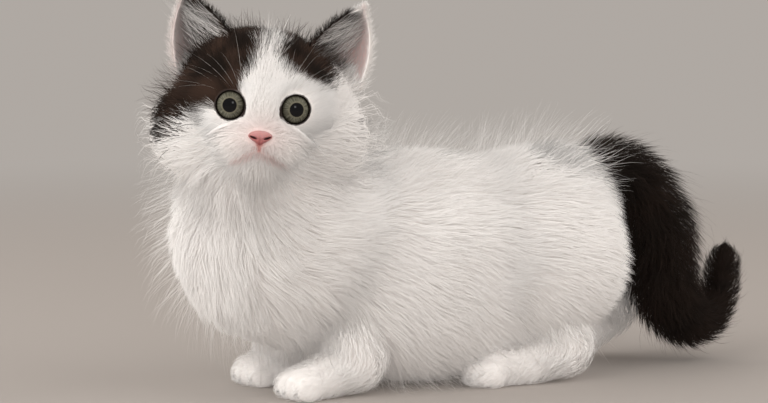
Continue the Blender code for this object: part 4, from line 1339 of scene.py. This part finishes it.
def sampled(weight, count, random):
    # Roots by area: evenly spaced steps through the running total of the faces' weights.
    total = np.cumsum(weight)
    steps = (np.arange(count) + random.uniform(0, 1, count)) / count * total[-1]
    face = np.searchsorted(total, steps)
    a, b = random.uniform(0, 1, (2, count))
    flip = a + b > 1
    a, b = np.where(flip, 1 - a, a), np.where(flip, 1 - b, b)
    p = cornerPoints[face]
    return face, p[:, 0] + a[:, None] * (p[:, 1] - p[:, 0]) + b[:, None] * (p[:, 2] - p[:, 0])


def unwrapTrunk(points):
    # u along the body, v the angle round it; on the head, longitude and latitude.
    return np.stack([(points[:, 0] + 150) / 290,
                     np.arctan2(points[:, 1], points[:, 2] - middleHeight) / (2 * np.pi) + 0.5], axis=1)


def unwrapHead(points):
    local = unit(inHead(points))
    return np.stack([np.arctan2(local[:, 0], local[:, 2]) / (2 * np.pi) + 0.5,
                     np.arccos(np.clip(local[:, 1], -1, 1)) / np.pi], axis=1)


def unwrapLeg(name):
    index = list(legForms).index(name)
    middle = np.mean([form.get("centre", form.get("start")) for form in legForms[name]], axis=0)

    def unwrap(points):
        angle = np.arctan2(points[:, 1] - middle[1], points[:, 0] - middle[0]) / (2 * np.pi) + 0.5
        return np.stack([(index + angle) / 4, points[:, 2] / 60], axis=1)
    return unwrap


def unwrapTail(points):
    share = alongTail(points)[1]
    return np.stack([share, np.arctan2(points[:, 1], points[:, 2] + points[:, 0]) / np.pi + 0.5], axis=1)


coat = {
    # length along the lie per mm of depth, spread of reach, swirl, width and its growth per mm
    "head": {"run": 1.3, "reach": (0.7, 1.2), "swirl": 0.3, "wide": (0.19, 0.017)},
    "body": {"run": 1.4, "reach": (0.86, 1.14), "swirl": 0.18, "wide": (0.19, 0.015)},
    "leg": {"run": 1.4, "reach": (0.6, 1.3), "swirl": 0.45, "wide": (0.20, 0.018)},
    "tail": {"run": 0.95, "reach": (0.85, 1.4), "swirl": 0.4, "wide": (0.24, 0.018)},
    "tailGuard": {"run": 1.1, "reach": (1.25, 1.9), "swirl": 0.4, "wide": (0.15, 0.004)},
    "guard": {"run": 0.85, "reach": (1.3, 2.5), "swirl": 0.4, "wide": (0.14, 0.003)},
}
random = np.random.default_rng(11)


def toneOf(count):
    return random.normal(1.0, 0.035, count)


def lookAt(points, count):
    dark, brown, pink, _ = skinLook(points)
    mottled = np.clip(dark + random.normal(0, 0.26, count) * (dark > 0.02) * (dark < 0.98), 0, 1)
    return np.stack([mottled, brown, toneOf(count), np.clip(pink * 0.6, 0, 1)], axis=1)


def growCoat(kind, chosen, field, lie, unwrap, plan, count, short=True, density=None):
    # One kind of coat on the chosen faces: more and finer tufts where the coat is short.
    weight = faceArea * chosen * bareFaces * (density if density is not None else 1.0)
    face, roots = sampled(weight, count, random)
    depth = field(roots)[1]
    chest = np.clip((-25 - roots[:, 0]) / 20, 0, 1) * (kind == "body")
    reach = random.uniform(*plan["reach"], count) * (1 + (0.03 + 0.12 * chest) * ripple(roots, 22, 51))
    length = depth * plan["run"] * random.uniform(0.8, 1.2, count) + 1.2
    length = np.minimum(length, 0.2 + 0.7 * offMouth(roots))
    shares = tuft["shortShares"] if short else tuft["shares"]
    path, normals, acrosses = follow(field, lie, roots, random, length, reach, plan["swirl"], shares)
    strength = np.clip(depth / 12, 0.1, 1)
    if kind != "guard":
        if kind in ("head", "body"):
            path = clumped(path, roots, 10.0, (0.10 + 0.4 * chest) * strength, shares, 21)
        pull = 0.4 * np.clip(depth / 5, 0.4, 1) if kind == "leg" else (0.14 + 0.26 * chest) * strength
        path = clumped(path, roots, 2.4, pull, shares, 31)
    widths = (plan["wide"][0] + plan["wide"][1] * depth) * random.uniform(0.75, 1.25, count)
    addTufts(kind, path, normals, acrosses, widths, lookAt(roots, count), unwrap(roots))


bareFaces = bareShare(faceMiddle) * ~faceEar
headFaces = (nearest == 0) & (headShare(faceMiddle) > 0.75)
bodyFaces = (nearest == 0) & ~headFaces
fineness = 1 / np.clip(faceCoat, 1.6, 14) ** 0.75
for sign in (-1, 1):
    fineness = fineness * (1 + 1.6 * (lengths(faceMiddle - eyePlace(sign)) < 14))
sideways = np.abs(faceNormal[:, 1]) / np.maximum(2 * faceArea, 1e-9)
print("coat: head")
shortShare = np.clip((7.5 - faceCoat) / 4.5, 0, 1)      # from fine face hair to the long coat
growCoat("head", headFaces, trunkField, trunkLie, unwrapHead, coat["head"], 24000,
         density=fineness * shortShare)
growCoat("head", headFaces, trunkField, trunkLie, unwrapHead, coat["head"], 23000,
         density=fineness * (1 - shortShare))
print("coat: body")
growCoat("body", bodyFaces, trunkField, trunkLie, unwrapTrunk, coat["body"], 52000)
rear = (faceMiddle[:, 0] > 88) & (faceMiddle[:, 2] < 92)
growCoat("guard", (nearest == 0) & (faceCoat > 5) & (sideways < 0.8) & ~rear, trunkField, trunkLie,
         unwrapTrunk, coat["guard"], 6000, short=False)
print("coat: legs and tail")
for index, name in enumerate(legForms):
    growCoat("leg", nearest == 1 + index, legField(name), legLie, unwrapLeg(name), coat["leg"], 4000)
growCoat("tail", nearest == 5, tailField, tailLie, unwrapTail, coat["tail"], 12000)
growCoat("tail", nearest == 5, tailField, tailLie, unwrapTail, coat["tailGuard"], 900, short=False)


earHair = {
    "back": 1900,
    "rim": 1100,
    "cup": 220,
    "skirt": 900,
    # share of dark along the root of the right and the left ear, from the crown outwards
    "skirtDark": {-1: ((0, 0.45, 0.62, 1), (1.0, 1.0, 0.25, 0.05)),
                  1: ((0, 0.3, 0.55, 1), (1.0, 0.9, 0.3, 0.0))},
}


def addEarHair(sign):
    # Short hair over the back and rims, lying towards the tip, and long pale hairs that sweep
    # up out of the cup from its inner rim. Path: p + way L s + normal H s ^ 0.7.
    shares = np.array(tuft["shortShares"])
    plans = (("back", 1, (0.02, 0.98), (2.6, 4.2), (1.0, 1.8), 0.5),
             ("front", -1, (0.02, 0.98), (2.4, 4.6), (0.4, 1.3), 0.3),
             ("rim", 0, (0.0, 1.0), (2.0, 5.5), (0.3, 4.2), 0.22))
    for kind, face, across, lengths, heights, width in plans:
        count = earHair["rim"] if kind == "rim" else earHair["back"]
        u = random.uniform(*across, count)
        v = random.uniform(0.0, 0.97, count)
        if kind == "rim":
            u = np.where(random.uniform(0, 1, count) < 0.5, 0.0, 1.0)
        middle, normal = earPoint(sign, u, v), earNormal(sign, u, v)
        up = unit(earPoint(sign, u, np.minimum(v + 0.03, 1)) - earPoint(sign, u, v - 0.03))
        out = unit(earPoint(sign, np.minimum(u + 0.03, 1), v) - earPoint(sign, np.maximum(u - 0.03, 0), v))
        chord = unit(earPoint(sign, 1.0, v) - earPoint(sign, 0.0, v))
        side = normal * face if face else chord * np.where(u < 0.5, -1, 1)[:, None]
        root = middle + side * (earWall(u, v) / 2 - 0.25)[:, None] if face else middle
        way = unit(up + out * random.normal(0.1, 0.25, count)[:, None])
        length = random.uniform(*lengths, count)
        height = random.uniform(*heights, count)
        path = (root[:, None] + way[:, None] * (length[:, None] * shares)[..., None]
                + side[:, None] * (height[:, None] * shares ** 0.7)[..., None])
        acrossWay = np.cross(side, way)
        stack = lambda array: np.repeat(array[:, None], len(shares), axis=1)
        front = np.full(count, -1.0 if face > 0 else 1.0)
        darkness, brownness, pinkness = earLook(sign, u, v, front)
        if kind == "rim":
            white = np.where(u < 0.5, 0.0, 1.0)
            darkness = darkness * (1 - white)
        look = np.stack([darkness, brownness, toneOf(count), 0.4 * pinkness], axis=1)
        place = np.stack([0.25 + 0.5 * (sign > 0) + 0.24 * (u - 0.5), 0.5 * v + 0.5 * (face > 0)], axis=1)
        addTufts("ear", path, stack(side), stack(acrossWay), np.full(count, width), look, place)
    count = earHair["cup"]
    shares = np.array(tuft["shares"])
    u = random.uniform(0.0, 1, count) ** 1.5 * 0.5
    v = random.uniform(0.0, 0.5, count)
    root, normal = earPoint(sign, u, v), earNormal(sign, u, v)
    up = unit(earPoint(sign, u, v + 0.05) - earPoint(sign, u, v))
    out = unit(earPoint(sign, 1.0, v) - earPoint(sign, 0.0, v))
    way = unit(up + out * random.uniform(0.0, 0.55, count)[:, None])
    length = random.uniform(12, 22, count)
    height = random.uniform(1.0, 4.0, count)
    path = (root[:, None] + way[:, None] * (length[:, None] * shares)[..., None]
            - normal[:, None] * (height[:, None] * np.sin(shares * 2.2))[..., None])
    look = np.stack([random.choice([0.15, 0.4, 0.75], count), np.zeros(count), toneOf(count),
                     np.zeros(count)], axis=1)
    stack = lambda array: np.repeat(array[:, None], len(shares), axis=1)
    place = np.stack([0.25 + 0.5 * (sign > 0) + 0.24 * (u - 0.5), 0.5 * v], axis=1)
    addTufts("earLong", path, stack(-normal), stack(np.cross(-normal, way)),
             np.full(count, 0.16), look, place)


def addSkirt(sign):
    # Hair in front of an ear's root: from the head's flesh up over the lower end of the cup.
    count = earHair["skirt"]
    shares = np.array(tuft["shortShares"])
    u = random.uniform(-0.02, 1.0, count)
    base, normal = earPoint(sign, np.clip(u, 0, 1), 0.0), earNormal(sign, np.clip(u, 0, 1), 0.02)
    up = unit(earPoint(sign, np.clip(u, 0, 1), 0.3) - base)
    out = unit(earPoint(sign, 1.0, 0.0) - earPoint(sign, 0.0, 0.0))
    start = base - up * random.uniform(0.5, 5, count)[:, None] - normal * random.uniform(0.5, 3.5, count)[:, None]
    value, slope, _ = steepest(trunkField, start)
    root = start - unit(slope) * (value + tuft["sunk"])[:, None]
    length = random.uniform(7, 12, count) * (0.75 + 0.35 * u)
    way = unit(up + out * (0.25 + 0.35 * u + random.normal(0, 0.15, count))[:, None]
               - normal * random.uniform(0.0, 0.35, count)[:, None])
    path = np.stack([root, start + way * (0.4 * length)[:, None], start + way * length[:, None]], axis=1)
    dark = np.interp(u, *earHair["skirtDark"][sign]) + random.normal(0, 0.12, count)
    look = np.stack([np.clip(dark, 0, 1), np.full(count, 0.5), toneOf(count), np.zeros(count)], axis=1)
    stack = lambda array: np.repeat(array[:, None], len(shares), axis=1)
    addTufts("ear", path, stack(-normal), stack(np.cross(-normal, way)), np.full(count, 0.34), look,
             unwrapHead(root))


for sign in (-1, 1):
    addEarHair(sign)
    addSkirt(sign)


whisker = {
    # rows on a pad: roots (side, up, ahead), ways (side, up, ahead), length, sag
    "rows": [((10.5, -13.0, 26.5), (1.0, 0.10, -0.35), 30, 4), ((10.8, -15.0, 26.5), (1.0, -0.02, -0.3), 34, 6),
             ((10.5, -17.0, 26.0), (0.95, -0.22, -0.3), 34, 8), ((9.5, -18.8, 26.0), (0.9, -0.45, -0.3), 30, 8)],
    "brows": 8,
    "width": 0.13,
    "points": 9,
}


def addWhiskers():
    # Tapered bowed hairs: p = root + way L s - up sag s ^ 2 - ahead 0.7 L s ^ 2, each a
    # little off its row.
    share = np.linspace(0, 1, whisker["points"])
    rows = [row for row in whisker["rows"] for _ in range(2)]
    for place in np.linspace(0, 1, whisker["brows"]):
        angle = math.radians(78 - 62 * place)
        rows.append(((9.5 + 9 * place, 8.5 - 4.5 * place, 25 - 5 * place),
                     (math.cos(angle), math.sin(angle), 0.45), 34 - 8 * place, 7.0))
    paths = []
    for sign in (-1, 1):
        for root, way, length, sag in rows:
            start = np.array(root) + random.normal(0, 0.6, 3) * np.array([1, 1, 0.3])
            heading = unit(np.array(way) + random.normal(0, 0.1, 3))
            line = start + heading * (length * random.uniform(0.8, 1.1) * share)[:, None]
            line[:, 1] -= sag * share ** 2
            line[:, 2] -= 0.7 * length * share ** 2
            paths.append(onHead(line * np.array([sign, 1, 1])))
    path = inBox(np.array(paths).reshape(-1, 3)).reshape(len(paths), -1, 3)
    along = unit(np.gradient(path, axis=1))
    normals = unit(np.cross(along, headAxes[2]))
    widths = np.full(len(path), whisker["width"])
    mesh, _ = strandMesh("whiskers", path, normals, np.cross(normals, along), widths, 1.0,
                         np.linspace(1, 0.3, whisker["points"] - 1))
    obj = newObject("whiskers", mesh)
    paint = Paint("whisker", **{"Roughness": 0.3})
    paint.set("Base Color", paint.mix(paint.noise(300.0), (0.62, 0.58, 0.54, 1), (0.85, 0.83, 0.80, 1)))
    mesh.materials.append(paint.material)
    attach(obj, "root")


coatPaint = coatMaterial()
skinPaint = skinMaterial()


def inBox(path):
    # Tips stay within the imported box plus 2.2 per cent of its half size: past a soft start at 0.97, distances
    # are
    #     # drawn in by tanh.
    low, high = np.array(cadLow), np.array(cadHigh)
    middle, half = (low + high) / 2, (high - low) / 2
    path = inFrame(path)
    away = (path - middle) / half
    start, full = 0.97, 1.022
    over = np.maximum(np.abs(away) - start, 0)
    soft = start + (full - start) * np.tanh(over / (full - start))
    away = np.where(over > 0, np.sign(away) * soft, away)
    return (middle + away * half - frameShift) / mm


addWhiskers()
limits = 190000
pieces = []
for kind in ("head", "body", "guard", "leg", "tail", "ear", "earLong"):
    groups = {}
    for part in strands:
        if part["kind"] == kind:
            groups.setdefault(part["path"].shape[1], []).append(part)
    number = 0
    for rings, parts in sorted(groups.items()):
        joined = {key: np.concatenate([part[key] for part in parts])
                  for key in ("path", "normals", "acrosses", "widths", "look", "place")}
        joined["path"] = inBox(joined["path"].reshape(-1, 3)).reshape(joined["path"].shape)
        each = 16 if rings == 4 else 10
        order = np.argsort(joined["path"][:, 0, 0], kind="stable")
        for share in np.array_split(order, -(-len(order) * each // limits)):
            number += 1
            part = {key: values[share] for key, values in joined.items()}
            part["thick"] = parts[0]["thick"]
            pieces.append(coatPiece("coat_%s_%d" % (kind, number), [part], coatPaint))
print("coat:", len(pieces), "pieces,", sum(len(piece.data.polygons) for piece in pieces), "triangles")

setPoints(skin, inFrame(skinPoints))
skin.data.materials.append(skinPaint)
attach(skin, "root")
fleshNodes = [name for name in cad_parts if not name.startswith(("eye", "nose"))]
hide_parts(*fleshNodes)

irisPaint = eyeMaterial()
for sign, side in ((-1, "right"), (1, "left")):
    ball = addEye(sign, side)
    ball.data.materials.append(irisPaint)
    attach(ball, "root")
    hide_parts("eye_" + side)
leather = addNose()
leather.data.materials.append(noseMaterial())
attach(leather, "root")
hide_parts("nose")
print("eyes and nose made")

stage = {"near": (0.40, 0.365, 0.34), "far": (0.43, 0.395, 0.365), "size": 30.0}
mesh = bpy.data.meshes.new("floor")
half = stage["size"]
mesh.from_pydata([(-half, -half, 0), (half, -half, 0), (half, half, 0), (-half, half, 0)], [], [(0, 1, 2, 3)])
floor = newObject("floor", mesh)


def floorMaterial():
    # Matt near the object; past two metres the floor fades into the colour of the world.
    paint = Paint("floor", **{"Base Color": (*stage["near"], 1), "Roughness": 0.85})
    glow = paint.node("ShaderNodeEmission", {}, {"Color": (*stage["far"], 1), "Strength": 1.0})
    parts = paint.node("ShaderNodeSeparateXYZ", {}, {0: paint.places()})
    across = Wire(paint, parts.socket.node.outputs["Y"])
    fade = paint.between((parts * parts + across * across) ** 0.5, 0.35, 1.6)
    blended = paint.node("ShaderNodeMixShader", {}, {0: fade, 1: Wire(paint, paint.shader.outputs[0]),
                                                     2: glow})
    paint.feed(paint.tree.nodes["Material Output"].inputs["Surface"], blended)
    return paint.material


mesh.materials.append(floorMaterial())

camera = {"azimuth": -25.0, "elevation": 5.0, "distance": 1.0, "lens": 100.0, "aim": (0, 0, 86)}


def backFrom(azimuth, elevation):
    # Unit vector from the object to a viewer at that azimuth and elevation.
    a, e = math.radians(azimuth), math.radians(elevation)
    return Vector((math.sin(a) * math.cos(e), -math.cos(a) * math.cos(e), math.sin(e)))


aim = Vector(inFrame(np.array(camera["aim"], float)).tolist())
lens = bpy.data.cameras.new("camera")
lens.lens, lens.sensor_width, lens.clip_end = camera["lens"], 36.0, 10.0
viewer = newObject("camera", lens)
viewer.location = aim + backFrom(camera["azimuth"], camera["elevation"]) * camera["distance"]
viewer.rotation_euler = backFrom(camera["azimuth"], camera["elevation"]).to_track_quat("Z", "Y").to_euler()
scene.camera = viewer

lamps = {
    # azimuth, elevation, distance, size, watts, colour
    "front": (-13, 20, 1.2, 0.27, 1.0, (1.0, 0.99, 0.97)),
    "left": (-80, 14, 1.5, 2.2, 41, (1.0, 0.99, 0.97)),
    "right": (45, 28, 1.5, 2.0, 18, (1.0, 0.98, 0.96)),
    "back": (165, 50, 1.5, 1.4, 4.2, (1.0, 0.97, 0.94)),
}
for name, (azimuth, elevation, distance, size, power, tint) in lamps.items():
    light = bpy.data.lights.new(name, "AREA")
    light.size, light.energy, light.color = size, power, tint
    lamp = newObject(name, light)
    lamp.visible_glossy = name == "front"
    lamp.location = aim + backFrom(azimuth, elevation) * distance
    lamp.rotation_euler = backFrom(azimuth, elevation).to_track_quat("Z", "Y").to_euler()
world = bpy.data.worlds.new("room")
scene.world = world
world.use_nodes = True
world.node_tree.nodes["Background"].inputs["Color"].default_value = (*stage["far"], 1)
world.node_tree.nodes["Background"].inputs["Strength"].default_value = 1.0
scene.view_settings.view_transform = "Standard"

bpy.context.view_layer.update()
